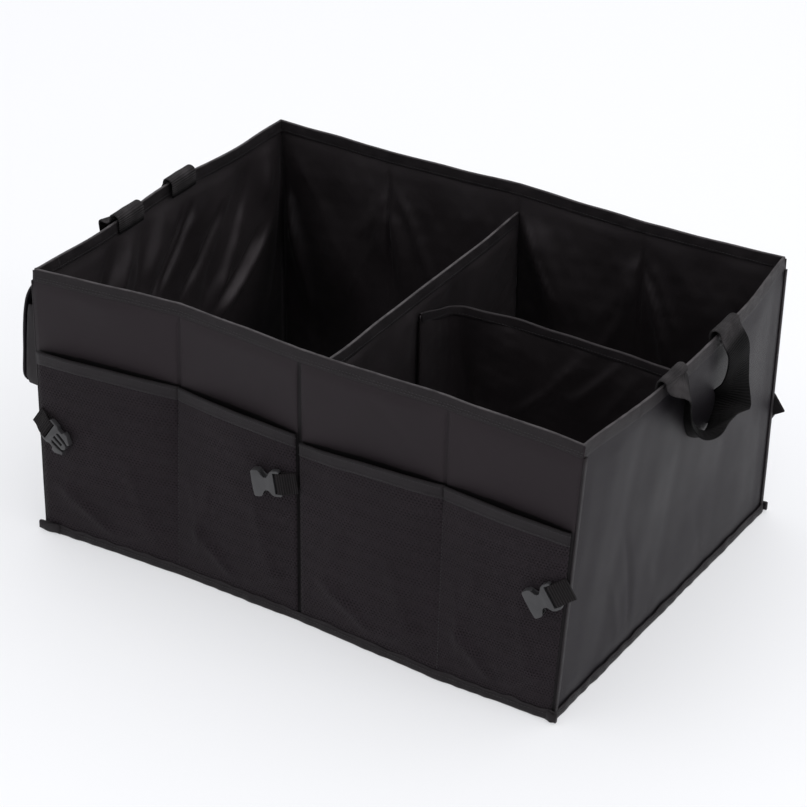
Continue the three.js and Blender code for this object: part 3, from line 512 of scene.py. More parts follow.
def plain_board():
    material, nodes, links, shader = new_material("stiffener_board")
    patches = soft_noise(nodes, links, 40.0)
    fibres = soft_noise(nodes, links, 700.0, 2.0)
    colour = colours_between(nodes, links, between(nodes, links, patches, 0, 1),
                             (0.10, 0.085, 0.065), (0.15, 0.125, 0.10))
    roughness = between(nodes, links, fibres, 0.8, 0.92)
    finish(links, shader, colour, roughness, add_bump(nodes, links, fibres, 0.0001))
    return material


def sewing_thread():
    material, nodes, links, shader = new_material("sewing_thread")
    twist = soft_noise(nodes, links, 1500.0, 1.0)
    colour = colours_between(nodes, links, between(nodes, links, twist, 0, 1),
                             (0.014, 0.013, 0.014), (0.030, 0.028, 0.030))
    finish(links, shader, colour, between(nodes, links, twist, 0.45, 0.6))
    return material


pocket_mesh = knitted_mesh()
# The handle webbing is much darker than the tab webbing, as painted shade on the hanging loop. Its marked parts,
# over the rim and low on the loop, get a lighter colour as painted light.
webbing = tinted_where_marked(
    ribbed_webbing("webbing", (0.0008, 0.0007, 0.0007), (0.0040, 0.0035, 0.0038), 0.05),
    (0.060, 0.055, 0.057), 0.5)
tab_webbing = ribbed_webbing("tab_webbing", (0.0038, 0.0030, 0.0033), (0.0170, 0.0142, 0.0150))
buckle_plastic = moulded_plastic()
stiffener = plain_board()
thread = sewing_thread()
print("materials:", len(bpy.data.materials))

# %% [markdown]
# The boards inside the walls never show once the cloth is on, and the hook-and-loop strips are
# flat blocks in real life too. These solids stay as they are and only get a material.

# %% Materials for the solids that stay
for name, node in frame["nodes"].items():
    look = pile if "_strip" in name else stiffener
    node.data.materials.clear()
    node.data.materials.append(look)
print("solids given a first material:", len(frame["nodes"]))

# %% [markdown]
# The long walls fold in four: the cloth bends in at each quarter line, lies nearly flat over
# each board, and puckers a little where the boards end. The two ends hold one board each, and
# their cloth is looser, so it shows broad upright folds and a few long creases. A wall is one
# rule that turns a place along it and up it, and a distance out of it, into a point.

# %% The four walls as rules
QUARTERS = [-QUARTER, 0.0, QUARTER]
MOUTH_LINES = [190.0, 196.0, 201.0]
RIM_PRESS, WALL_PRESS_BAND = 0.58, 22.0


def thinned(z, top, band):
    """The share of its thickness that a standing sheet keeps; it is pressed flat in the band."""
    return 1 - RIM_PRESS * ease((z - top + band) / band)


def pressed(out, z):
    """Near the rim the layers of a wall are sewn flat, so it grows thin towards its top."""
    middle = -WALL / 2
    return middle + (out - middle) * thinned(z, TALL, WALL_PRESS_BAND)


def long_wall(side):
    def place(s, z, out):
        return sewn(np.stack([s, side * (DEEP / 2 + pressed(out, z)), z], axis=-1))
    return place


def end_wall(side):
    def place(s, z, out):
        return sewn(np.stack([side * (LONG / 2 + pressed(out, z)), s, z], axis=-1))
    return place


def held_edges(s, z, reach, low=9.0, high=266.0, soft=14.0):
    """1 on the free cloth, 0 where a seam or a binding holds it."""
    sides = ease((reach - np.abs(s)) / soft)
    return ease((z - low) / soft) * ease((high - z) / soft) * sides


def wall_grid(low, high, foot, top, folds, step=4.0, fine=()):
    s_lines = lines_with_folds(low, high, step, folds)
    z_lines = lines_with_folds(foot, top, step, fine, near=(0.8, 1.6, 2.4, 3.2, 4.0))
    return np.meshgrid(s_lines, z_lines, indexing="ij")


POCKET_TOPS = {"left": [(-LONG / 2, 196.0), (-QUARTER, 197.5), (0.0, 196.0)],
               "right": [(0.0, 189.0), (QUARTER, 196.0), (LONG / 2, 194.5)]}


def mouth_height(s):
    """The height of a pocket's top edge above the foot; it rises a little between two seams."""
    left, right = (np.array(POCKET_TOPS[word]) for word in ("left", "right"))
    line = np.where(s < 0, np.interp(s, left[:, 0], left[:, 1]),
                    np.interp(s, right[:, 0], right[:, 1]))
    return line + 3.4 * np.sin(math.pi * ((s + LONG / 2) / QUARTER % 1)) ** 0.6


def wall_layer(name, place, s, z, seen, hidden):
    """A layer between two faces, each given by its distance out of the wall."""
    uv = np.stack([s, z], axis=-1)
    return closed_sheet(name, place(s, z, seen), place(s, z, np.full_like(s, hidden)), uv)


# %% [markdown]
# The outer cloth of a long wall is one sheet from foot to rim. It could be a plane with a cloth
# simulation, but sewn cloth over boards hardly moves, so its shape is written down: a low swell
# over each board, a groove at each fold line and small puckers beside it. Inside the pockets the
# cloth is marked, and the material paints it black there as painted shade, because no light gets
# in. The grooves at the centre seam and at the fold lines are marked too and painted dark as
# painted shade.

# %% Outer cloth of the front and the back
def long_folds(s, z, seed):
    free = held_edges(s, z, LONG / 2, low=10, high=268, soft=10)
    shape = ripple(s, z, seed, 120, 0.35) + ripple(s, z, seed + 1, 45, 0.12)
    shape = shape + 1.2 * np.abs(np.sin(s / QUARTER * math.pi)) ** 0.7
    for quarter in QUARTERS:
        shape = shape + groove(s, quarter, 1.8, 2.2 if quarter else 3.2)
        for k, rise in enumerate((238, 190, 120, 60)):
            lean = (-1) ** k * 16
            shape = shape + crease(s, z, (quarter, rise), (quarter + lean, rise - 18), 2.6, 0.35)
    return shape * free


s, z = wall_grid(-LONG / 2, LONG / 2, 0, TALL - BINDING - GAP, QUARTERS, fine=MOUTH_LINES)
front_shape = long_folds(s, z, 11)
front_shape += held_edges(s, z, LONG / 2) * creases(s, z, [
    ((-8, 262), (-46, 243), 3.0, 0.5), ((60, 262), (120, 205), 5, -0.5),
    ((150, 262), (190, 215), 5, 0.5), ((-190, 258), (-150, 205), 6, 0.4)])
front_panel = wall_layer("front_cloth", long_wall(-1), s, z, front_shape, -CLOTH)
# Painted shade: the wall inside the pockets and the grooves at the seam and fold lines are marked, and the
# material paints them near black.
in_shadow = (z < mouth_height(s) + 0.8) * 1.0
painted_groove_shade = 0.95 * (np.abs(s) < 1.6) + 0.4 * (np.abs(np.abs(s) - QUARTER) < 0.8)
mark_sheet(front_panel, np.maximum(in_shadow, painted_groove_shade))
dress(front_panel, "organizer", outer_cloth, "front_panel", slot="cloth")
back_panel = wall_layer("back_cloth", long_wall(1), s, z, long_folds(s, z, 23), -CLOTH)
dress(back_panel, "organizer", outer_cloth, "back_panel", slot="cloth")

# %% [markdown]
# The ends carry no fold lines. Their cloth is a little too wide for its board, so it stands in
# broad upright folds that lean, with a few long creases from the corners. The left end is kept
# flat at its front, where the pocket with the flap is sewn on.

# %% Outer cloth of the ends
END_REACH = DEEP / 2 - CLOTH - GAP


def upright_folds(s, z, places, height):
    total = 0.0
    for centre, width, share, lean in places:
        line = s - centre - lean * (z - TALL / 2) / TALL
        total = total + share * np.exp(-(line / width) ** 2)
    return height * total


s, z = wall_grid(-END_REACH, END_REACH, 0, TALL - BINDING - GAP, [])
free = held_edges(s, z, END_REACH, soft=18)
right_shape = 0.8 + ripple(s, z, 31, 150, 0.30) + upright_folds(s, z, [
    (-150, 14, 0.9, 30), (-112, 11, -0.8, 36), (-66, 16, 1.0, 30), (-22, 12, -0.9, 26),
    (26, 18, 0.8, 14), (78, 14, -0.8, 10), (126, 18, 0.9, -8), (168, 9, -0.7, -10)], 0.9)
right_shape += creases(s, z, [
    ((-112, 168), (-70, 4), 4.0, -1.2), ((-128, 120), (-88, 4), 5.0, 0.9),
    ((-60, 96), (-20, 8), 7.0, 0.7), ((20, 120), (64, 14), 8.0, -0.6)])
right_panel = wall_layer("right_end_cloth", end_wall(1), s, z, right_shape * free, -CLOTH)
dress(right_panel, "organizer", end_cloth, "right_end_panel", slot="cloth")
left_shape = 0.8 + ripple(s, z, 37, 150, 0.30) + upright_folds(s, z, [
    (-40, 14, 0.8, 20), (10, 12, -0.8, 26), (60, 16, 0.9, 20), (110, 12, -0.8, 10),
    (150, 14, 0.8, -12)], 0.8)
left_shape *= 1 - 0.9 * ease((-s - 88) / 12)
left_panel = wall_layer("left_end_cloth", end_wall(-1), s, z, left_shape * free, -CLOTH)
dress(left_panel, "organizer", end_cloth, "left_end_panel", slot="cloth")

# %% [markdown]
# The lining is cut from thin shiny cloth and is a little too big, so it wrinkles. On the left
# end long folds run from the top of the back corner down towards the front. On the back wall
# the folds hang like curtains from the quarter lines, which are sewn through. The cloth is
# painted darker in triangles under a seam's end, as painted shade where little light reaches
# the lining.

# %% Lining of the four walls
LINING_OUT = -(CLOTH + BOARD + GAP * 2)
FLOOR = CLOTH + GAP * 2
HELD_BELOW_RIM = 45.0


def painted_shade_triangle(s, z, at, top, width):
    """1 in a triangle that hangs from a seam and grows towards the floor: painted shade where no light falls."""
    reach = 3 + width * np.clip((top - z) / top, 0, 1)
    return ease(1.5 - np.abs(s - at) / reach) * ease((top - z) / 60)


def lining(name, place, s, z, shape, node, dark=()):
    """A slack lining; below the rim it hangs free only little by little."""
    shape = shape * (0.15 + 0.85 * ease((TALL - RIM_BAND - z) / HELD_BELOW_RIM))
    piece = wall_layer(name, place, s, z, LINING_OUT - CLOTH - shape, LINING_OUT)
    # painted shade: the material darkens the lining in these triangles
    shade = sum((painted_shade_triangle(s, z, *place_of) for place_of in dark), np.zeros_like(s))
    mark_sheet(piece, np.clip(shade, 0, 1))
    return dress(piece, "organizer", lining_cloth, node, slot="lining")


def curtain(s, z, at, seed, height):
    """Folds that spread downwards and sideways from a sewn line."""
    chance = np.random.default_rng(seed)
    total = 0.0
    for side in (-1, 1):
        for k in range(3):
            top = chance.uniform(205, 262)
            drop = chance.uniform(70, 150)
            reach = chance.uniform(16, 60)
            total = total + crease(s, z, (at, top), (at + side * reach, top - drop),
                                   chance.uniform(3.5, 7), chance.uniform(0.5, 1.0))
    return height * total


def flat_under_cross(s, z):
    """Less than 1 where a turned end of the cross divider presses the cloth flat."""
    return 1 - 0.8 * ease((226 - z) / 12) * ease((s + 22) / 14) * ease((80 - s) / 14)


inner = LONG / 2 - WALL - GAP
s, z = wall_grid(-inner, inner, FLOOR, TALL - BINDING - GAP, QUARTERS)
free = held_edges(s, z, inner, low=4, high=267, soft=10)
back_slack = 1.8 + ripple(s, z, 51, 70, 1.0) + ripple(s, z, 52, 26, 0.35)
for k, quarter in enumerate(QUARTERS + [-inner, inner]):
    back_slack += curtain(s, z, quarter, 60 + k, 4.2) + groove(s, quarter, 2.0, 3.2)
back_slack += creases(s, z, [
    ((6, 262), (62, 140), 11, 2.8), ((-inner + 8, 262), (-inner + 60, 165), 8, 2.6),
    ((10, 268), (QUARTER - 6, 252), 6, 1.8)])
back_slack = np.maximum(back_slack, 0.1) * free
# the last list places the triangles of painted shade
lining("back_lining_cloth", long_wall(1), s, z, back_slack, "back_lining",
       [(0, 262, 95), (-inner, 255, 120), (inner, 262, 70)])
front_slack = 1.0 + ripple(s, z, 71, 80, 0.6) + ripple(s, z, 72, 28, 0.2)
for k, quarter in enumerate(QUARTERS):
    front_slack += curtain(s, z, quarter, 80 + k, 1.4) + groove(s, quarter, 2.2, 1.6)
front_slack = np.maximum(front_slack, 0.1) * free
lining("front_lining_cloth", long_wall(-1), s, z, front_slack, "front_lining")

s, z = wall_grid(-END_REACH, END_REACH, FLOOR, TALL - BINDING - GAP, [], step=3.2)
free = held_edges(s, z, END_REACH - WALL, low=4, high=267, soft=12)
left_slack = 4.0 + ripple(s, z, 91, 90, 0.6) + ripple(s, z, 92, 30, 0.25)
left_slack += creases(s, z, [
    ((134, 284), (36, 122), 11, -7.6), ((88, 240), (4, 150), 4.5, -3.8),
    ((48, 262), (-30, 170), 3.5, -4.4), ((36, 262), (-46, 168), 3.5, -4.4),
    ((-30, 276), (-70, 150), 10, -6.6), ((-78, 276), (-118, 205), 9, -6.4),
    ((160, 282), (150, 200), 9, 4.6), ((172, 190), (62, 104), 4.5, 4.8),
    ((150, 190), (50, 112), 5.5, -4.0), ((120, 230), (62, 120), 4.5, 3.0),
    ((0, 270), (-46, 190), 12, 3.4), ((-52, 270), (-96, 196), 9, 3.8),
    ((186, 250), (150, 60), 7, -3.2)])
left_slack = np.maximum(left_slack, 0.1) * free
# the last list places a triangle of painted shade
lining("left_end_lining_cloth", end_wall(-1), s, z, left_slack, "left_end_lining",
       [(END_REACH, 215, 150)])
right_slack = 1.3 + ripple(s, z, 97, 70, 0.6) + ripple(s, z, 98, 26, 0.2)
right_slack += creases(s, z, [
    ((-150, 262), (-60, 40), 5, 3.4), ((-100, 262), (-20, 60), 5, 3.0),
    ((-10, 262), (60, 90), 5, 3.0), ((70, 262), (130, 60), 5, 3.6),
    ((150, 250), (120, 30), 5, 2.8)])
right_slack *= flat_under_cross(s, z)
right_slack = np.maximum(right_slack, 0.1) * free
lining("right_end_lining_cloth", end_wall(1), s, z, right_slack, "right_end_lining")

# %% [markdown]
# Tape binds every raw edge. It is folded over the edge, so its section is a narrow arch with
# soft corners. The rim tape runs round the whole box as one ring. Each distance from the wall
# has a ring of its own, with a corner no tighter than the tape can turn.

# %% Rings round the box
RING_STEP, TAPE_THICK = 3.0, 0.8


def ring_at(out, corner=2.5, side_step=RING_STEP, turns=6):
    """Points once round the box at a distance out of its walls, with their ways out."""
    radius = max(corner + out, 0.3)
    inset = radius - out
    places, ways = [], []
    corners = [(-1, -1), (1, -1), (1, 1), (-1, 1)]
    for index, (cx, cy) in enumerate(corners):
        middle = np.array([cx * (LONG / 2 - inset), cy * (DEEP / 2 - inset)])
        start = math.atan2(cy, cx) - math.pi / 4
        for turn in np.linspace(start, start + math.pi / 2, turns):
            way = np.array([math.cos(turn), math.sin(turn)])
            places.append(middle + radius * way)
            ways.append(way)
        nx, ny = corners[(index + 1) % 4]
        nearest = places[-1]
        way = ways[-1]
        far = np.array([nx * (LONG / 2 - inset), ny * (DEEP / 2 - inset)]) + radius * way
        count = int((LONG if cy == ny else DEEP) // side_step)
        for share in np.linspace(0, 1, count + 1)[1:-1]:
            places.append(nearest * (1 - share) + far * share)
            ways.append(way)
    return np.array(places), np.array(ways)


def ring_of(name, section, wave, seed):
    """A tape round the whole box that waves up and down and puckers as it goes."""
    rows = []
    for out, z in section:
        places, ways = ring_at(pressed(out, z))
        rows.append(np.column_stack([places, np.full(len(places), z)]))
    rows = np.stack(rows, axis=1)
    step = np.arange(len(rows)) * RING_STEP
    pucker = ripple(step, step * 0, seed + 1, 9, 0.16)[:, None]
    swing = np.array([math.cos(k) for k in range(len(section))])[None, :]
    rows[..., 2] += ripple(step, step * 0, seed, 80, wave)[:, None]
    rows[..., :2] += (ways[:, None, :] * (pucker * swing)[..., None])
    return swept(name, sewn(rows), wrap=True)


def mark_fold(piece, size, first, last, amount=1.0):
    """Marks the points from first to last of each section, which has as many points as size."""
    share = np.zeros(len(piece.data.vertices))
    place = np.arange(len(share)) % size
    share[(place >= first) & (place <= last)] = amount
    mark(piece, share)


def tape_section(inside, outside, top, band, soft=0.9):
    """An arch over an edge: outer face, rounded top, inner face, then back underneath."""
    low = top - band
    o, i = outside + TAPE_THICK, -inside - TAPE_THICK
    return [(o - 0.25, low), (o, low + 0.5), (o + 0.12, low + band * 0.45), (o, top - 1.6),
            (o - 0.25, top - soft), (o - 1.0, top - 0.1), ((o + i) / 2, top + 0.15),
            (i + 1.0, top - 0.1), (i + 0.25, top - soft), (i, top - 1.6),
            (i - 0.12, low + band * 0.45), (i, low + 0.5), (i + 0.25, low),
            (-inside, low), (-inside, top - TAPE_THICK), (outside, top - TAPE_THICK),
            (outside, low)]


def painted_top_highlight(tape, amount=1.0):
    """Marks the three points on top of each section of a tape, which get a painted highlight."""
    mark_fold(tape, len(tape_section(0, 0, 0, 0)), 5, 7, amount)


rim = ring_of("rim_tape", tape_section(WALL + GAP, GAP, TALL, RIM_BAND), wave=0.5, seed=5)
# painted highlight along the top of the rim tape
painted_top_highlight(rim, 0.8)
dress(rim, "organizer", tape_cloth, "rim_binding", slot="tape")

# %% [markdown]
# The foot tape isn't an arch: it is a flat band that is sewn on round the foot of the box. Each
# point of its section says how far out and how high it is, and how loosely it is held. The
# middle of the outer face puckers most, and the side that lies on the wall doesn't at all.

# %% Foot tape
FOOT_TOP = 10.0
FOOT_SECTION = [(GAP, 0.0, 0), (1.6, 0.0, 0.6), (2.6, 0.8, 1), (2.7, 3.4, 1.4),
                (2.4, 7.0, 1), (2.0, FOOT_TOP, 0.5), (1.35, FOOT_TOP, 0), (GAP, 6.9, 0)]
places, ways = ring_at(0.0)
step = np.arange(len(places)) * RING_STEP
pucker = ripple(step, step * 0, 9, 13, 0.35)
rise = ripple(step, step * 0, 10, 26, 0.7)
rows = []
for out, height, loose in FOOT_SECTION:
    spots = ring_at(out)[0] + ways * (pucker * loose)[:, None]
    lift = rise if height == FOOT_TOP else 0 * rise
    rows.append(np.column_stack([spots, height + lift]))
foot = swept("foot_tape", sewn(np.stack(rows, axis=1)), wrap=True)
# painted highlight along the top edge of the foot tape
mark_fold(foot, len(FOOT_SECTION), 5, 5)
dress(foot, "organizer", foot_cloth, "foot_binding", slot="tape")

# %% [markdown]
# At each corner one length of foot tape ends and the next begins, so the tape is doubled there
# and its cut end sticks out. Each is a short thick band on the tape that tapers a little.

# %% Doubled ends of the foot tape at the corners
END_SECTION = [(-1, -0.9), (-0.5, -1), (0.5, -1), (1, -0.9),
               (1, 0.9), (0.5, 1), (-0.5, 1), (-1, 0.9)]


def tape_end(name, side_x, side_y, inside, outside):
    """A stub from a place inside the corner to one outside it, both in mm from the corner."""
    start = np.array([side_x * (LONG / 2 - inside), side_y * (DEEP / 2 + 3.2), 5.7])
    way = np.array([side_x, side_y * -0.02, 0.0])
    across = np.array([0.0, side_y, 0.0])
    rows = []
    for share in np.linspace(0, 1, 9):
        droop = -0.7 * share + 0.5 * math.sin(share * 9)
        middle = start + way * (inside + outside) * share + UP * droop
        half, thick = 5.0 - 0.9 * share ** 2, 0.4 + 1.2 * ease(share * 3)
        rows.append([middle + a * thick * across + b * half * UP for a, b in END_SECTION])
    piece = swept(name, sewn(np.array(rows)))
    return dress(piece, "organizer", foot_cloth, slot="tape")


for word, side_x, side_y, inside, outside in (
        ("front_left", -1, -1, 16, 6.0), ("front_right", 1, -1, 6, 5.0),
        ("back_left", -1, 1, 8, 4.0), ("back_right", 1, 1, 6, 4.5)):
    tape_end(f"foot_tape_end_{word}", side_x, side_y, inside, outside)

# %% [markdown]
# At each upright corner the two outer cloths meet in a narrow bound seam. It is a low rounded
# rib between the foot tape and the rim tape, and it sways a little on its way up.

# %% Corner seams
def corner_seam(name, side_x, side_y, node):
    heights = even_lines(FOOT_BAND + GAP, TALL - RIM_BAND - GAP, 5.0)
    section = [(0.3, 5.0), (1.5, 4.8), (1.9, 3.6), (1.9, 1.4), (1.5, 0.2), (0.3, 0.0)]
    sway = ripple(heights, heights * 0, 7, 60, 0.25)
    rows = [[(side_x * (LONG / 2 + out + shift * 0.3), side_y * (DEEP / 2 - back), h)
             for out, back in section] for h, shift in zip(heights, sway)]
    piece = swept(name, sewn(np.array(rows)))
    return dress(piece, "organizer", tape_cloth, node, slot="tape")


for word, side_x, side_y in (("front_left", -1, -1), ("front_right", 1, -1),
                             ("back_left", -1, 1), ("back_right", 1, 1)):
    corner_seam(f"corner_tape_{word}", side_x, side_y, f"corner_seam_{word}")

# %% [markdown]
# The divider is sewn to the front and the back wall. Its cloth wraps a board, puckers near the
# seams and is pressed flat under the tape on its top edge, as the rim of a wall is.

# %% The sewn divider
REACH = DEEP / 2 - WALL - GAP
DIVIDER_TOP = DIVIDER_HEIGHT - BINDING - GAP
DIVIDER_PRESS_BAND = 18.0


def divider_pressed(points):
    """Draws the divider together towards its top edge."""
    p = np.array(points, float)
    p[..., 0] *= thinned(p[..., 2], DIVIDER_HEIGHT, DIVIDER_PRESS_BAND)
    return p


t, z = np.meshgrid(even_lines(-REACH, REACH, 3.6), even_lines(CLOTH + GAP, DIVIDER_TOP, 3.6),
                   indexing="ij")
free = held_edges(t, z, REACH, low=2, high=DIVIDER_TOP - 6, soft=12)


def divider_face(side, seed):
    puff = 1.0 + ripple(t, z, seed, 60, 0.7) + ripple(t, z, seed + 1, 22, 0.2)
    for end, lean in ((-REACH, 1), (REACH, -1)):
        for step in range(5):
            top = 243 - step * 40
            fold = crease(t, z, (end, top), (end + lean * (60 + 12 * step), top - 50), 5, 1.5)
            puff = puff + fold * (-1) ** step
    puff = puff + creases(t, z, [((-30, 246), (20, 150), 7, 1.2), ((60, 246), (20, 130), 6, -1.2)])
    if side > 0:
        puff = puff * flat_under_cross(t, z)
    face = np.stack([side * (DIVIDER_HALF + np.maximum(puff, 0) * free), t, z], axis=-1)
    return sewn(divider_pressed(face))


divider = closed_sheet("divider_cloth", divider_face(-1, 101), divider_face(1, 103),
                       np.stack([t, z], axis=-1))
dress(divider, "organizer", lining_cloth, "divider_cover", "divider_board", slot="cloth")


section = tape_section(DIVIDER_HALF + GAP, DIVIDER_HALF + GAP, DIVIDER_HEIGHT, RIM_BAND)
stations = even_lines(-REACH, REACH, 3.0)
dip = ripple(stations, stations * 0, 105, 80, 0.6)
pucker = ripple(stations, stations * 0, 106, 9, 0.15)
rows = np.array([[(out + wave * math.cos(k), at, height + sway)
                  for k, (out, height) in enumerate(section)]
                 for at, sway, wave in zip(stations, dip, pucker)])
divider_tape = swept("divider_tape", sewn(divider_pressed(rows)))
# painted highlight along the top of the divider tape
painted_top_highlight(divider_tape)
dress(divider_tape, "organizer", tape_cloth, "divider_binding", slot="tape")

# %% [markdown]
# The cross divider is a loose panel that can be lifted out. Its ends are turned forward and
# hold by strips of hook and loop. It is one cloth that follows a path in plan: forward edge,
# soft corner, long middle, soft corner, forward edge. The middle is thick, for its board is
# inside, and the turned ends are only two layers of cloth.

# %% The loose cross divider
STRIP = 1.2
CROSS_Y, CROSS_HEIGHT, CROSS_FLANGE, CROSS_RISE, CROSS_BOW = 56.0, 214.0, 58.0, 16.0, 9.0
CROSS_LEFT = DIVIDER_HALF + GAP + (STRIP + GAP) * 2
CROSS_RIGHT = LONG / 2 - WALL - GAP - (STRIP + GAP) * 2
BASE_THICK, FLOOR_BOARD_THICK = 1.2, 3.0
CROSS_FLOOR = BASE_THICK + FLOOR_BOARD_THICK + GAP * 2
CROSS_TOP = CROSS_HEIGHT - BINDING - GAP
TURN_RADIUS, CROSS_PRESS_BAND = 13.0, 16.0


def cross_drape(points):
    p = np.array(points, float)
    span = np.clip((p[..., 0] - CROSS_LEFT) / (CROSS_RIGHT - CROSS_LEFT), 0, 1)
    forward = np.clip((CROSS_Y - DIVIDER_HALF - p[..., 1]) / CROSS_FLANGE, 0, 1)
    p[..., 1] += CROSS_BOW * np.sin(math.pi * span)
    p[..., 2] += CROSS_RISE * forward * np.clip(p[..., 2] / CROSS_HEIGHT, 0, 1)
    return sewn(p)


def cross_plan():
    """Places along the panel in plan, with the way that its front faces and its half thickness."""
    left, right = CROSS_LEFT + CLOTH, CROSS_RIGHT - CLOTH
    front = CROSS_Y - DIVIDER_HALF - CROSS_FLANGE
    end = [(left, y, 1, 0, CLOTH) for y in even_lines(front, CROSS_Y - TURN_RADIUS, 3.5)[:-1]]
    for a in np.linspace(0, math.pi / 2, 8):
        x, y = left + TURN_RADIUS * (1 - math.cos(a)), CROSS_Y - TURN_RADIUS * (1 - math.sin(a))
        half = CLOTH + (DIVIDER_HALF - CLOTH) * ease(a / (math.pi / 2))
        end.append((x, y, math.cos(a), -math.sin(a), half))
    middle = [(x, CROSS_Y, 0, -1, DIVIDER_HALF)
              for x in even_lines(left + TURN_RADIUS, right - TURN_RADIUS, 3.5)[1:-1]]
    other_end = [(left + right - px, py, -wx, wy, half) for px, py, wx, wy, half in reversed(end)]
    path = np.array(end + middle + other_end, float)
    return path[:, :2], path[:, 2:4], path[:, 4]


plan, plan_ways, plan_half = cross_plan()
run = np.concatenate([[0], np.cumsum(np.linalg.norm(np.diff(plan, axis=0), axis=1))])
s, z = np.meshgrid(run, even_lines(CROSS_FLOOR, CROSS_TOP, 3.6), indexing="ij")
free = held_edges(s - run[-1] / 2, z, run[-1] / 2, low=4, high=CROSS_TOP + 2, soft=10)
sway = ripple(s, z, 111, 60, 0.9) + ripple(s, z, 112, 20, 0.25)
sway = sway + creases(s, z, [
    ((182, 207), (105, 112), 4, -3.4), ((194, 207), (112, 104), 5, 3.0),
    ((216, 207), (165, 146), 4, -3.4), ((228, 207), (172, 138), 5, 3.0),
    ((250, 206), (196, 120), 5, 1.8), ((285, 202), (200, 60), 6, 2.0),
    ((265, 150), (220, 20), 5, 1.6), ((60, 204), (72, 80), 5, -1.5),
    ((110, 206), (90, 120), 6, 1.2)])


def cross_layer(side, lift):
    reach = side * (plan_half[:, None] + np.maximum(lift, -0.3) * free)
    reach = reach * thinned(z, CROSS_HEIGHT, CROSS_PRESS_BAND)
    flat = plan[:, None, :] + reach[..., None] * plan_ways[:, None, :]
    return cross_drape(np.concatenate([flat, z[..., None]], axis=-1))


cross = closed_sheet("cross_divider_cloth", cross_layer(1, sway + 0.4), cross_layer(-1, 0.4 - sway),
                     np.stack([s, z], axis=-1))
dress(cross, "organizer", lining_cloth, "cross_divider_cover", "cross_divider_board", slot="cloth")


def on_plan(index, out, height):
    """A place beside the panel's path; the panel is thin at its top, so the tape is too."""
    share = thinned(height, CROSS_HEIGHT, CROSS_PRESS_BAND)
    spot = plan[index] + plan_ways[index] * out * share
    return (spot[0], spot[1], height)


TAPE_SLACK = 0.7
rows = []
dip = ripple(run, run * 0, 115, 70, 0.7)
pucker = ripple(run, run * 0, 116, 9, 0.15)
for k, half in enumerate(plan_half):
    section = tape_section(half + TAPE_SLACK, half + TAPE_SLACK, CROSS_HEIGHT, RIM_BAND * 0.8)
    rows.append([on_plan(k, -out + pucker[k] * math.cos(j), height + dip[k])
                 for j, (out, height) in enumerate(section)])
cross_tape = swept("cross_divider_tape", cross_drape(np.array(rows)))
# a fainter painted highlight along the top of the cross divider tape
painted_top_highlight(cross_tape, 0.4)
dress(cross_tape, "organizer", inner_tape, "cross_divider_binding", slot="tape")

# %% [markdown]
# The floor is one cloth that is sewn to the walls, and a loose cloth-covered board on it in each
# half, which can be lifted out before the box is folded. A board is smaller than the floor all
# round, so its edge is let down softly instead of being cut square.

# %% The base cloth and the two floor boards
BOARD_MARGIN, BOARD_FOOT = 2.5, BASE_THICK + GAP
BOARD_TOP = BOARD_FOOT + FLOOR_BOARD_THICK


def floor_board(name, low_x, high_x, seed, node):
    reach = DEEP / 2 - WALL - BOARD_MARGIN
    x, y = np.meshgrid(even_lines(low_x, high_x, 6.0), even_lines(-reach, reach, 6.0),
                       indexing="ij")
    edge = ease((np.minimum(np.minimum(x - low_x, high_x - x), reach - np.abs(y))) / 3.0)
    puff = (0.25 + ripple(x, y, seed, 70, 0.22)) * edge
    top = np.stack([x, y, BOARD_TOP + puff - 0.8 * (1 - edge)], axis=-1)
    under = np.stack([x, y, np.full_like(x, BOARD_FOOT)], axis=-1)
    piece = closed_sheet(name, sewn(top), sewn(under), np.stack([x, y], axis=-1))
    return dress(piece, "organizer", lining_cloth, node, slot="lining")


near, far = DIVIDER_HALF + BOARD_MARGIN, LONG / 2 - WALL - BOARD_MARGIN
floor_board("floor_board_left", -far, -near, 121, "base_board_left")
floor_board("floor_board_right", near, far, 123, "base_board_right")
half_x, half_y = LONG / 2 - CLOTH - GAP, DEEP / 2 - CLOTH - GAP
x, y = np.meshgrid(even_lines(-half_x, half_x, 8.0), even_lines(-half_y, half_y, 8.0),
                   indexing="ij")
under = np.stack([x, y, np.zeros_like(x)], axis=-1)
over = np.stack([x, y, np.full_like(x, BASE_THICK)], axis=-1)
base = closed_sheet("base_cloth", sewn(over), sewn(under), np.stack([x, y], axis=-1))
dress(base, "organizer", outer_cloth, "base_panel", slot="cloth")

# %% [markdown]
# The pockets are one long piece of mesh on each half of the front, sewn down along the foot and
# along every fold line. Between two seams the top stands away from the wall, so its edge is an
# arc and each pocket is a shallow bag. A cloth band hems the top. No light reaches the wall
# inside a pocket, so the wall there and the top of the hem are painted black as painted shade,
# and the mouth shows as a black line above the hem.

# %% Mesh pockets and their hems
POCKET_SLACK, POCKET_MARGIN, MESH = 7.5, 2.0, 0.9
HEM_SECTION = [(-HEM_BAND, 0.12), (-HEM_BAND + 0.4, 0.5), (-HEM_BAND / 2, 0.6), (-2.9, 0.65),
               (-2.1, 0.8), (-0.4, 0.9), (0.5, 0.3), (0.5, -0.8), (-0.9, -1.2),
               (-0.9, -0.02), (-HEM_BAND / 2, 0.05)]


def pocket_out(x, z):
    """How far the mesh stands out of the wall between the seams at its sides and its foot."""
    share = ((x + LONG / 2) / QUARTER) % 1
    rise = np.clip((z - FOOT_BAND) / (POCKET_HEIGHT - FOOT_BAND), 0, 1)
    spread = np.sin(math.pi * share) ** (0.9 - 0.45 * rise)
    return POCKET_SLACK * spread * ease(rise * 5) * (0.3 + 0.7 * rise)


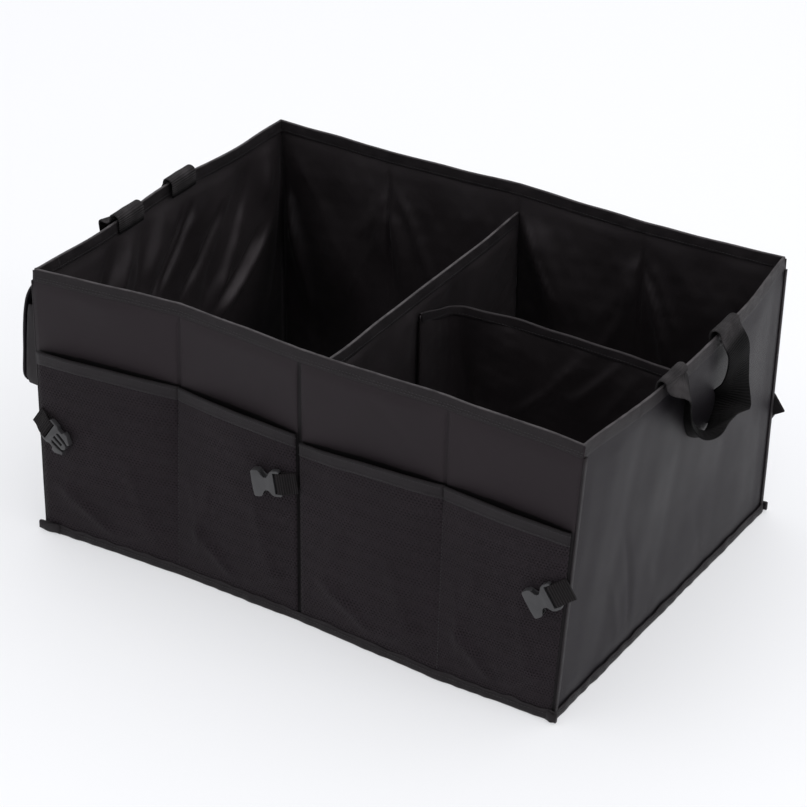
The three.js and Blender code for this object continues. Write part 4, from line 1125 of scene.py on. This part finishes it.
def pocket(word, low, high, seed):
    """Makes the mesh and its hem, and gives back the line of the top edge for the stitches."""
    x_lines = lines_with_folds(low + POCKET_MARGIN, high - POCKET_MARGIN, 3.6, [(low + high) / 2])
    x, share = np.meshgrid(x_lines, np.linspace(0, 1, 56), indexing="ij")
    top = mouth_height(x)
    z = FOOT_BAND + GAP + share * (top - FOOT_BAND - GAP)
    free = ease(share / 0.12) * np.abs(np.sin((x + LONG / 2) / QUARTER * math.pi)) ** 0.5
    slack = ripple(x, z, seed, 60, 0.5) + ripple(x, z, seed + 1, 22, 0.16)
    slack = slack + creases(x, z, [
        ((low + 22, 30), (low + 60, 150), 7, 1.4), ((low + 118, 24), (low + 90, 120), 7, 1.6),
        ((high - 118, 22), (high - 92, 140), 6, 1.8), ((high - 24, 26), (high - 50, 130), 7, 1.6),
        ((high - 128, 120), (high - 116, 30), 4, 1.8), ((low + 10, 62), (low + 84, 10), 7, 3.2),
        ((low + 132, 50), (low + 70, 14), 6, 2.2), ((high - 132, 66), (high - 66, 10), 7, 3.0),
        ((high - 12, 52), (high - 70, 16), 6, 2.4)])
    out = GAP + pocket_out(x, z) + np.maximum(slack * free, -0.2)
    wall = long_wall(-1)
    piece = wall_layer(f"pocket_{word}", wall, x, z, out + MESH, out)
    dress(piece, "organizer", pocket_mesh, f"mesh_pocket_{word}", slot="mesh")
    lift, stand = np.array(HEM_SECTION).T
    rows = []
    for i, at_x in enumerate(x_lines):
        heights = top[i, 0] + lift
        reach = np.interp(heights, z[i], out[i]) + MESH + stand
        rows.append(np.stack([np.full_like(heights, at_x), heights, reach], axis=-1))
    rows = np.array(rows)
    hem = swept(f"pocket_hem_{word}", wall(rows[..., 0], rows[..., 1], rows[..., 2]))
    # the top and inner side of the hem are painted near black, as painted shade in the pocket's mouth
    mark_fold(hem, len(HEM_SECTION), 4, 8)
    dress(hem, "organizer", hem_cloth, f"pocket_hem_{word}", slot="tape")
    return np.stack([x_lines, top[:, 0], out[:, -1] + MESH], axis=-1)


pocket_edges = [pocket("left", -LONG / 2, 0.0, 131), pocket("right", 0.0, LONG / 2, 137)]

# %% [markdown]
# A small pocket hangs on the left end under a flap. The flap is sewn along its top edge, stands
# away from the wall over the pocket, and turns up about that seam.

# %% The flap and its pocket
seat = next(j for j in frame["joints"] if j["name"] == "flap_hinge")
hinge = np.array(seat["pos_m"]) / METRE
along_hinge = unit(np.array(seat["axis"], float))
out_of_end = unit(np.cross(along_hinge, UP))
out_of_end = out_of_end if out_of_end[0] < 0 else -out_of_end
FLAP_HALF, FLAP_LENGTH, FLAP_CORNER = 43.0, 118.0, 9.0
FLAP_SHOULDER, FLAP_STANDOFF = 38.0, 22.0
FLAP_LINE = np.array([(0, 0), (0.25 * FLAP_SHOULDER, 0.42 * FLAP_STANDOFF),
                      (0.6 * FLAP_SHOULDER, 0.74 * FLAP_STANDOFF),
                      (FLAP_SHOULDER, 0.92 * FLAP_STANDOFF),
                      (0.6 * FLAP_LENGTH, 1.08 * FLAP_STANDOFF),
                      (FLAP_LENGTH - FLAP_CORNER, 1.22 * FLAP_STANDOFF),
                      (FLAP_LENGTH, 1.02 * FLAP_STANDOFF)])


def on_flap(x, h, out):
    return (hinge + x[..., None] * along_hinge + out[..., None] * out_of_end
            + h[..., None] * UP)


def flap_out(h):
    """How far the flap stands out of the end at a height, which is below 0 under the hinge."""
    return np.interp(-h, FLAP_LINE[:, 0], FLAP_LINE[:, 1])


across = even_lines(-FLAP_HALF, FLAP_HALF, 3.0)
down = np.linspace(0, -FLAP_LENGTH, 40)
x, h = np.meshgrid(across, down, indexing="ij")
below = np.maximum(0, -FLAP_LENGTH + FLAP_CORNER - h)
squeeze = FLAP_CORNER - np.sqrt(np.maximum(FLAP_CORNER ** 2 - below ** 2, 0))
narrow = x * (1 - squeeze / FLAP_HALF)
smooth_out = (flap_out(h) + flap_out(np.minimum(h + 4, 0)) + flap_out(h - 4)) / 3
swell = 0.5 * np.cos(np.clip(x / FLAP_HALF, -1, 1) * math.pi / 2) * ease(-h / 30)
swell = swell + ripple(x, h, 141, 40, 0.25) * ease(-h / 20)
seen = on_flap(narrow, h, smooth_out + CLOTH + swell)
hidden = on_flap(narrow, h, smooth_out - CLOTH + np.minimum(swell, 0.0) * 0.2)
flap = closed_sheet("pocket_flap_cloth", seen, hidden, np.stack([x, h], axis=-1))
dress(flap, "flap", end_cloth, "pocket_flap", slot="cloth")


def softened(name, node, width, levels=0):
    """A merged copy of a solid with rounded edges."""
    shell = bmesh.new()
    shell.from_mesh(frame["nodes"][node].data)
    bmesh.ops.remove_doubles(shell, verts=shell.verts, dist=1e-6)
    bmesh.ops.dissolve_limit(shell, angle_limit=math.radians(1.0), verts=shell.verts,
                             edges=shell.edges)
    mesh = bpy.data.meshes.new(name)
    shell.to_mesh(mesh)
    shell.free()
    piece = bpy.data.objects.new(name, mesh)
    bpy.context.collection.objects.link(piece)
    round_off = piece.modifiers.new("rounding", "BEVEL")
    round_off.width = width * METRE
    round_off.segments = 2
    round_off.limit_method = "ANGLE"
    round_off.angle_limit = math.radians(28)
    if levels:
        finer = piece.modifiers.new("finer", "SUBSURF")
        finer.subdivision_type = "SIMPLE"
        finer.levels = finer.render_levels = levels
    made_plain(piece).set_sharp_from_angle(angle=math.radians(40))
    return piece


bag = softened("flap_pocket_cloth", "flap_pocket", 1.2, levels=2)
dress(bag, "organizer", foot_cloth, "flap_pocket", slot="cloth")

# %% [markdown]
# A strap is a flat band that follows a path. At each place it has a way that its width faces,
# so it can twist as it hangs. The handles go over the rim at both ends and hang in a loop. The
# path passes smoothly through a few stops, each with its own turn and tilt.

# %% Straps and handles
def smooth_path(stops, per_span=7):
    """A centripetal curve through the stops; numbers past the third are carried along."""
    stops = np.asarray(stops, float)
    ends = np.vstack([2 * stops[0] - stops[1], stops, 2 * stops[-1] - stops[-2]])
    rows = []
    for a, b, c, d in zip(ends, ends[1:], ends[2:], ends[3:]):
        knots = [0.0]
        for p, q in ((a, b), (b, c), (c, d)):
            knots.append(knots[-1] + max(np.linalg.norm((q - p)[:3]), 0.5) ** 0.5)
        for t in np.linspace(knots[1], knots[2], per_span, endpoint=False):
            ab = (a * (knots[1] - t) + b * (t - knots[0])) / (knots[1] - knots[0])
            bc = (b * (knots[2] - t) + c * (t - knots[1])) / (knots[2] - knots[1])
            cd = (c * (knots[3] - t) + d * (t - knots[2])) / (knots[3] - knots[2])
            abc = (ab * (knots[2] - t) + bc * (t - knots[0])) / (knots[2] - knots[0])
            bcd = (bc * (knots[3] - t) + cd * (t - knots[1])) / (knots[3] - knots[1])
            rows.append((abc * (knots[2] - t) + bcd * (t - knots[1])) / (knots[2] - knots[1]))
    return np.array(rows + [stops[-1]])


def strap_section(half, t, crown=0.0, edge=0.8):
    return [(-half, -t * 0.5), (-half + edge, -t), (-half / 2, -t), (0, -t + crown),
            (half / 2, -t), (half - edge, -t), (half, -t * 0.5), (half, t * 0.5),
            (half - edge, t), (half / 2, t), (0, t + crown), (-half / 2, t),
            (-half + edge, t), (-half, t * 0.5)]


def strap(name, centre, across, width, thick, crown=0.0):
    """A band with rounded edges; the UV runs along it and across it."""
    tangent = unit(np.gradient(centre, axis=0))
    across = unit(across - (across * tangent).sum(-1, keepdims=True) * tangent)
    face = unit(np.cross(tangent, across))
    section = strap_section(width / 2, thick / 2, crown)
    rows = np.stack([centre + a * across + b * face for a, b in section], axis=1)
    return swept(name, rows)


HANDLE_WIDTH, HANDLE_THICK, HANDLE_END, STRAP_EASE = 38.0, 1.8, 13.0, 0.8
STRAP_INSIDE = WALL + GAP + BINDING + GAP + HANDLE_THICK / 2
ARCH = WALL / 2 + GAP + BINDING + HANDLE_THICK / 2 + STRAP_EASE
LOOP_STOPS = [(-0.47, 11, 8, 27, 0), (-0.44, 12, 20, 31, 8), (-0.37, 12, 40, 30, 20),
              (-0.26, 14, 58, 30, 30), (-0.08, 16, 72, 34, 34), (0.13, 17, 79, 55, 40),
              (0.31, 16, 79, 94, 40), (0.44, 14, 71, 132, 30), (0.51, 13, 57, 158, 16),
              (0.53, 13, 40, 172, 5), (0.51, 12, 18, 178, 0)]


def over_rim(along, turn):
    """The stops from inside the rim, over it and down to its outer face."""
    middle = -WALL / 2
    stops = [(-STRAP_INSIDE, HANDLE_END), (-STRAP_INSIDE, HANDLE_END * 0.6),
             (middle - ARCH, ARCH * 0.2), (middle - ARCH * 0.72, -ARCH * 0.66), (middle, -ARCH),
             (middle + ARCH * 0.72, -ARCH * 0.66), (middle + ARCH, ARCH * 0.2)]
    return [(along, out, down, turn, 0) for out, down in stops]


HANDLE_STOPS = over_rim(-0.52, 0) + LOOP_STOPS + over_rim(0.49, 180)[::-1]


def handle(name, side, centre, spread, node):
    path = smooth_path([(side * (LONG / 2 + out), centre + spread * at, TALL - down, turn, tilt)
                        for at, out, down, turn, tilt in HANDLE_STOPS])
    turn, tilt = np.radians(path[:, 3]), np.radians(path[:, 4])
    facing = np.stack([side * np.sin(turn) * np.cos(tilt), -np.cos(turn) * np.cos(tilt),
                       np.sin(tilt)], axis=-1)
    piece = strap(name, sewn(path[:, :3]), facing, HANDLE_WIDTH, HANDLE_THICK, crown=0.3)
    # Painted light: the strap is painted lighter over the rim and low on the loop, where it faces the light, and
    # the loop between keeps the dark colour of painted shade.
    over_the_rim = ease((path[:, 2] - TALL + 12) / 7)
    lit_loop_bottom = ease((TALL - 66 - path[:, 2]) / 12)
    painted_strap_light = 0.75 * over_the_rim + 0.2 * lit_loop_bottom
    mark(piece, np.repeat(painted_strap_light, len(strap_section(0, 0))))
    return dress(piece, "organizer", webbing, node, slot="webbing")


handle("right_handle_strap", 1, 0.0, 100.0, "right_handle")
handle("left_handle_strap", -1, -15.0, 86.0, "left_handle")

# %% [markdown]
# Each buckle half hangs on a short webbing tab that is sewn into a seam and passes round the
# buckle's bar. The joint says where the bar is and which way it lies, so the tab is built from
# it, and stays on the wall while its buckle half swings.

# %% Webbing tabs and buckle halves
TAB_WIDTH, TAB_THICK, TAB_LENGTH, BAR_RADIUS, BAR_CLEARANCE = 20.0, 1.2, 17.0, 1.5, 0.35


def tab_path(drop):
    """Points from the seam round the bar and back; the sewn end is nearer the wall by the drop."""
    half, radius = TAB_THICK / 2, BAR_RADIUS + BAR_CLEARANCE + TAB_THICK / 2
    path = [(-TAB_LENGTH, -drop - half), (-TAB_LENGTH * 0.7, -drop * 0.8 - half - 0.1)]
    path += [(-radius * 2.2, -radius * 0.85 - drop * 0.12)]
    path += [(radius * math.cos(a), radius * math.sin(a)) for a in np.linspace(-1.75, 1.75, 9)]
    path += [(-radius * 2.2, radius * 0.75 - drop * 0.1)]
    path += [(-TAB_LENGTH * 0.7, -drop * 0.8 + half + 0.1), (-TAB_LENGTH, -drop + half)]
    return smooth_path([(a, 0.0, b) for a, b in path], per_span=3)


def tab_and_buckle(joint):
    body = joint["child"]
    members = frame["record"]["behaviour"]["bodies"][body]
    buckle_node = next(n for n in frame["nodes"] if n.startswith("buckle") and n in members)
    kind, place = buckle_node.split("_")[1], "_".join(buckle_node.split("_")[2:])
    tab_node = "webbing_tab_" + place
    bar = np.array(joint["pos_m"]) / METRE
    low, high = (np.array(v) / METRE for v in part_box(buckle_node))
    width_way = unit(np.array(joint["axis"], float))
    ahead = (low + high) / 2 - bar
    ahead = unit(ahead - ahead.dot(width_way) * width_way)
    out = unit(np.cross(ahead, width_way))
    side = -1.0 if place.startswith("front") else 1.0
    out = out if out[1] * side > 0 else -out
    corners = [np.array(v.co) / METRE - bar for v in frame["nodes"][tab_node].data.vertices]
    lows = [c.dot(out) for c in corners if c.dot(ahead) < -TAB_LENGTH + 0.5]
    path = tab_path(-(min(lows) + max(lows)) / 2)
    centre = bar + path[:, :1] * ahead + path[:, 2:] * out
    facing = np.broadcast_to(width_way, centre.shape)
    tab = strap(f"tab_{place}", centre, facing, TAB_WIDTH, TAB_THICK)
    dress(tab, "organizer", tab_webbing, tab_node, slot="webbing")
    half = softened(f"{kind}_{place}", buckle_node, 0.45)
    dress(half, body, buckle_plastic, buckle_node, slot="plastic")


for joint in frame["joints"]:
    if joint["name"] != "flap_hinge":
        tab_and_buckle(joint)

# %% [markdown]
# Rows of stitches hold the tape, the hems and the pockets. Geometry Nodes make them: a line
# becomes a curve, is cut to the stitch pitch, and one small rounded stitch stands at each place,
# turned along the line and laid on the cloth. Each row is a plain mesh once it is made.

# %% The stitch tree
def stitch_tree():
    tree = bpy.data.node_groups.new("stitches", "GeometryNodeTree")
    face = tree.interface
    face.new_socket("Geometry", in_out="INPUT", socket_type="NodeSocketGeometry")
    pitch = face.new_socket("Pitch", in_out="INPUT", socket_type="NodeSocketFloat")
    size = face.new_socket("Length", in_out="INPUT", socket_type="NodeSocketFloat")
    girth = face.new_socket("Girth", in_out="INPUT", socket_type="NodeSocketFloat")
    look = face.new_socket("Material", in_out="INPUT", socket_type="NodeSocketMaterial")
    face.new_socket("Geometry", in_out="OUTPUT", socket_type="NodeSocketGeometry")
    nodes, links = tree.nodes, tree.links
    start, end = nodes.new("NodeGroupInput"), nodes.new("NodeGroupOutput")
    curve = nodes.new("GeometryNodeMeshToCurve")
    cut = nodes.new("GeometryNodeResampleCurve")
    cut.mode = "LENGTH"
    along = nodes.new("GeometryNodeInputTangent")
    facing = nodes.new("GeometryNodeInputNamedAttribute")
    facing.data_type = "FLOAT_VECTOR"
    facing.inputs["Name"].default_value = "facing"
    turn = nodes.new("FunctionNodeAxesToRotation")
    turn.primary_axis, turn.secondary_axis = "X", "Z"
    stitch = nodes.new("GeometryNodeMeshUVSphere")
    settings(stitch, {"Segments": 6, "Rings": 4, "Radius": 0.5})
    shape = nodes.new("ShaderNodeCombineXYZ")
    form = nodes.new("GeometryNodeTransform")
    place = nodes.new("GeometryNodeInstanceOnPoints")
    real = nodes.new("GeometryNodeRealizeInstances")
    paint = nodes.new("GeometryNodeSetMaterial")
    for giver, output, taker, entry in [
            (start, "Geometry", curve, "Mesh"), (curve, "Curve", cut, "Curve"),
            (start, "Pitch", cut, "Length"), (cut, "Curve", place, "Points"),
            (along, "Tangent", turn, "Primary Axis"),
            (facing, "Attribute", turn, "Secondary Axis"),
            (turn, "Rotation", place, "Rotation"), (start, "Length", shape, "X"),
            (start, "Girth", shape, "Y"), (start, "Girth", shape, "Z"),
            (stitch, "Mesh", form, "Geometry"), (shape, "Vector", form, "Scale"),
            (form, "Geometry", place, "Instance"), (place, "Instances", real, "Geometry"),
            (real, "Geometry", paint, "Geometry"), (start, "Material", paint, "Material"),
            (paint, "Geometry", end, "Geometry")]:
        links.new(giver.outputs[output], taker.inputs[entry])
    keys = {"pitch": pitch.identifier, "length": size.identifier, "girth": girth.identifier,
            "material": look.identifier}
    return tree, keys


STITCHES, STITCH_KEYS = stitch_tree()


def stitch_rows(name, rows, body="organizer", pitch=3.4, length=2.5, girth=0.5):
    """rows: lists of (points, facings) in millimetres; they become one plain mesh."""
    points, edges, ways = [], [], []
    for line, facing in rows:
        first = len(points)
        points += [tuple(p * METRE) for p in line]
        ways += [tuple(w) for w in unit(np.asarray(facing, float))]
        edges += [(first + i, first + i + 1) for i in range(len(line) - 1)]
    mesh = bpy.data.meshes.new(name)
    mesh.from_pydata(points, edges, [])
    layer = mesh.attributes.new("facing", "FLOAT_VECTOR", "POINT")
    layer.data.foreach_set("vector", np.array(ways, float).ravel())
    piece = bpy.data.objects.new(name, mesh)
    bpy.context.collection.objects.link(piece)
    sewing = piece.modifiers.new("stitches", "NODES")
    sewing.node_group = STITCHES
    for key, value in (("pitch", pitch * METRE), ("length", length * METRE),
                       ("girth", girth * METRE), ("material", thread)):
        sewing[STITCH_KEYS[key]] = value
    made_plain(piece)
    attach(piece, body)
    print(f"{name}: {triangles(piece)} triangles")
    return piece


# %% [markdown]
# The rim tape shows two rows outside and one inside, and each pocket hem shows two. The foot
# tape, each side of a divider's tape and each sewn line of a pocket show one. A row is a line of
# points just off the cloth, worked out by the rule that made the cloth, so the stitches lie on
# it wherever it leans or bows.

# %% Stitches on the tapes, the seams and the hems
def facing_row(line, way):
    return line, np.broadcast_to(np.asarray(way, float), line.shape)


def ring_line(out, z):
    places, ways = ring_at(pressed(out, z), side_step=5.0)
    line = sewn(np.column_stack([places, np.full(len(places), z)]))
    facing = np.column_stack([ways, np.zeros(len(ways))])
    return np.vstack([line, line[:1]]), np.vstack([facing, facing[:1]])


ABOVE_CLOTH = 0.05
lower, upper = TALL - RIM_BAND + 2.2, TALL - RIM_BAND + 4.6
outside = GAP + TAPE_THICK + ABOVE_CLOTH
inside_line, inside_way = ring_line(-(WALL + GAP + TAPE_THICK) - ABOVE_CLOTH, lower)
stitch_rows("rim_stitches", [ring_line(outside, lower), ring_line(outside, upper),
                             (inside_line, -inside_way)])
stitch_rows("foot_stitches", [ring_line(2.75, 6.4)])


ys = even_lines(-REACH + 3, REACH - 3, 5)
tape_low = DIVIDER_HEIGHT - RIM_BAND + 2.4
side_out = DIVIDER_HALF + GAP + TAPE_THICK + ABOVE_CLOTH
stitch_rows("divider_stitches", [
    facing_row(sewn(divider_pressed([(side * side_out, y, tape_low) for y in ys])), (side, 0, 0))
    for side in (-1, 1)])
cross_rows = []
for side in (-1, 1):
    line = cross_drape(np.array([on_plan(k, side * (half + 1.6), CROSS_HEIGHT - 7.4)
                                 for k, half in enumerate(plan_half)]))
    facing = np.column_stack([plan_ways * side, np.zeros(len(plan_ways))])
    cross_rows.append((line, facing))
stitch_rows("cross_divider_stitches", cross_rows)

hem_rows = []
for edge in pocket_edges:
    for drop in (2.6, HEM_BAND - 1.8):
        line = long_wall(-1)(edge[:, 0], edge[:, 1] - drop, edge[:, 2] + 0.62)
        hem_rows.append(facing_row(line, (0, -1, 0)))
stitch_rows("hem_stitches", hem_rows)

seam_rows = []
for quarter in (-QUARTER, QUARTER):
    zs = even_lines(FOOT_BAND + 2, 186, 5)
    outs = np.full_like(zs, GAP + MESH + 0.15)
    line = long_wall(-1)(np.full_like(zs, quarter), zs, outs)
    seam_rows.append(facing_row(line, (0, -1, 0)))
stitch_rows("pocket_seam_stitches", seam_rows)

# %% [markdown]
# The flap is hemmed on three sides, so a row of stitches follows its two sides and its lower
# edge a few millimetres in. These stitches ride on the flap, because they turn with it.

# %% Stitches on the flap
HEM_IN, FLAP_CLEAR = 4.0, 1.5
flap_rows = []
hs = np.linspace(-8, -FLAP_LENGTH + 6, 34)
for side in (-1, 1):
    xs = np.full_like(hs, side * (FLAP_HALF - HEM_IN))
    flap_rows.append(facing_row(on_flap(xs, hs, flap_out(hs) + FLAP_CLEAR), out_of_end))
xs = even_lines(-FLAP_HALF + HEM_IN, FLAP_HALF - HEM_IN, 3)
hs = np.full_like(xs, -FLAP_LENGTH + FLAP_CORNER)
flap_rows.append(facing_row(on_flap(xs, hs, flap_out(hs) + FLAP_CLEAR), out_of_end))
stitch_rows("flap_stitches", flap_rows, body="flap")

# %% [markdown]
# A plain pale floor, a bright even room and two soft lamps give the photograph's light. The large
# lamp overhead lights the floor evenly, and the small one on the right makes the right end
# lighter than the front. The floor glows a little, because a lamp strong enough to whiten it
# would also lighten the black cloth. The camera has the photograph's place: turned 31 degrees to
# the right of the front and 31 degrees up.

# %% Floor, lamps and camera
bpy.ops.mesh.primitive_plane_add(size=12)
floor = bpy.context.object
floor.name = "studio_floor"
floor_look, nodes, links, shader = new_material("studio_floor")
settings(shader, {"Base Color": (0.50, 0.50, 0.51, 1), "Emission Color": (0.975, 0.98, 1.0, 1),
                  "Emission Strength": 0.43, "Roughness": 0.7, "Specular IOR Level": 0.1})
floor.data.materials.append(floor_look)
floor.location.z = -0.0005

world = bpy.data.worlds.new("studio")
bpy.context.scene.world = world
world.use_nodes = True
settings(world.node_tree.nodes["Background"], {"Color": (0.95, 0.97, 1.0, 1), "Strength": 0.60})
print("view transform was", bpy.context.scene.view_settings.view_transform)
bpy.context.scene.view_settings.view_transform = "Standard"


def soft_lamp(name, place, aim, size, watts):
    lamp = bpy.data.lights.new(name, "AREA")
    lamp.shape, lamp.size, lamp.energy = "SQUARE", size, watts
    obj = bpy.data.objects.new(name, lamp)
    obj.location = place
    obj.rotation_euler = (Vector(aim) - Vector(place)).to_track_quat("-Z", "Y").to_euler()
    bpy.context.collection.objects.link(obj)
    print(name, watts, "W")


soft_lamp("lamp_right", (2.3, 0.1, 2.0), (0.0, 0, 0.15), 0.9, 10)
soft_lamp("lamp_over", (0.8, 0.0, 4.6), (0.8, 0.0, 0.0), 9.5, 262)

TURN, LIFT, ROLL = math.radians(31.364), math.radians(31.127), math.radians(0.7)
AWAY, SIDEWAYS, UPWARD, AIM_HEIGHT = 2.39236, -0.009417, -0.007989, 0.140475
FOCAL_PIXELS, PHOTO_PIXELS = 2560.515, 807
back_way = Vector((math.sin(TURN) * math.cos(LIFT), -math.cos(TURN) * math.cos(LIFT),
                   math.sin(LIFT)))
right_way = Vector((0, 0, 1)).cross(back_way).normalized()
up_way = back_way.cross(right_way)
rolled_right = math.cos(ROLL) * right_way + math.sin(ROLL) * up_way
rolled_up = -math.sin(ROLL) * right_way + math.cos(ROLL) * up_way
lens = bpy.data.cameras.new("photo_camera")
lens.sensor_width = 36.0
lens.lens = lens.sensor_width * FOCAL_PIXELS / PHOTO_PIXELS
lens.clip_end = 50
camera = bpy.data.objects.new("photo_camera", lens)
spot = (back_way * AWAY + rolled_right * SIDEWAYS + rolled_up * UPWARD
        + Vector((0, 0, AIM_HEIGHT)))
camera.matrix_world = Matrix.Translation(spot) @ Matrix(
    (rolled_right, rolled_up, back_way)).transposed().to_4x4()
bpy.context.collection.objects.link(camera)
bpy.context.scene.camera = camera
print("camera at", [round(v, 3) for v in spot], "lens", round(lens.lens, 2), "mm")
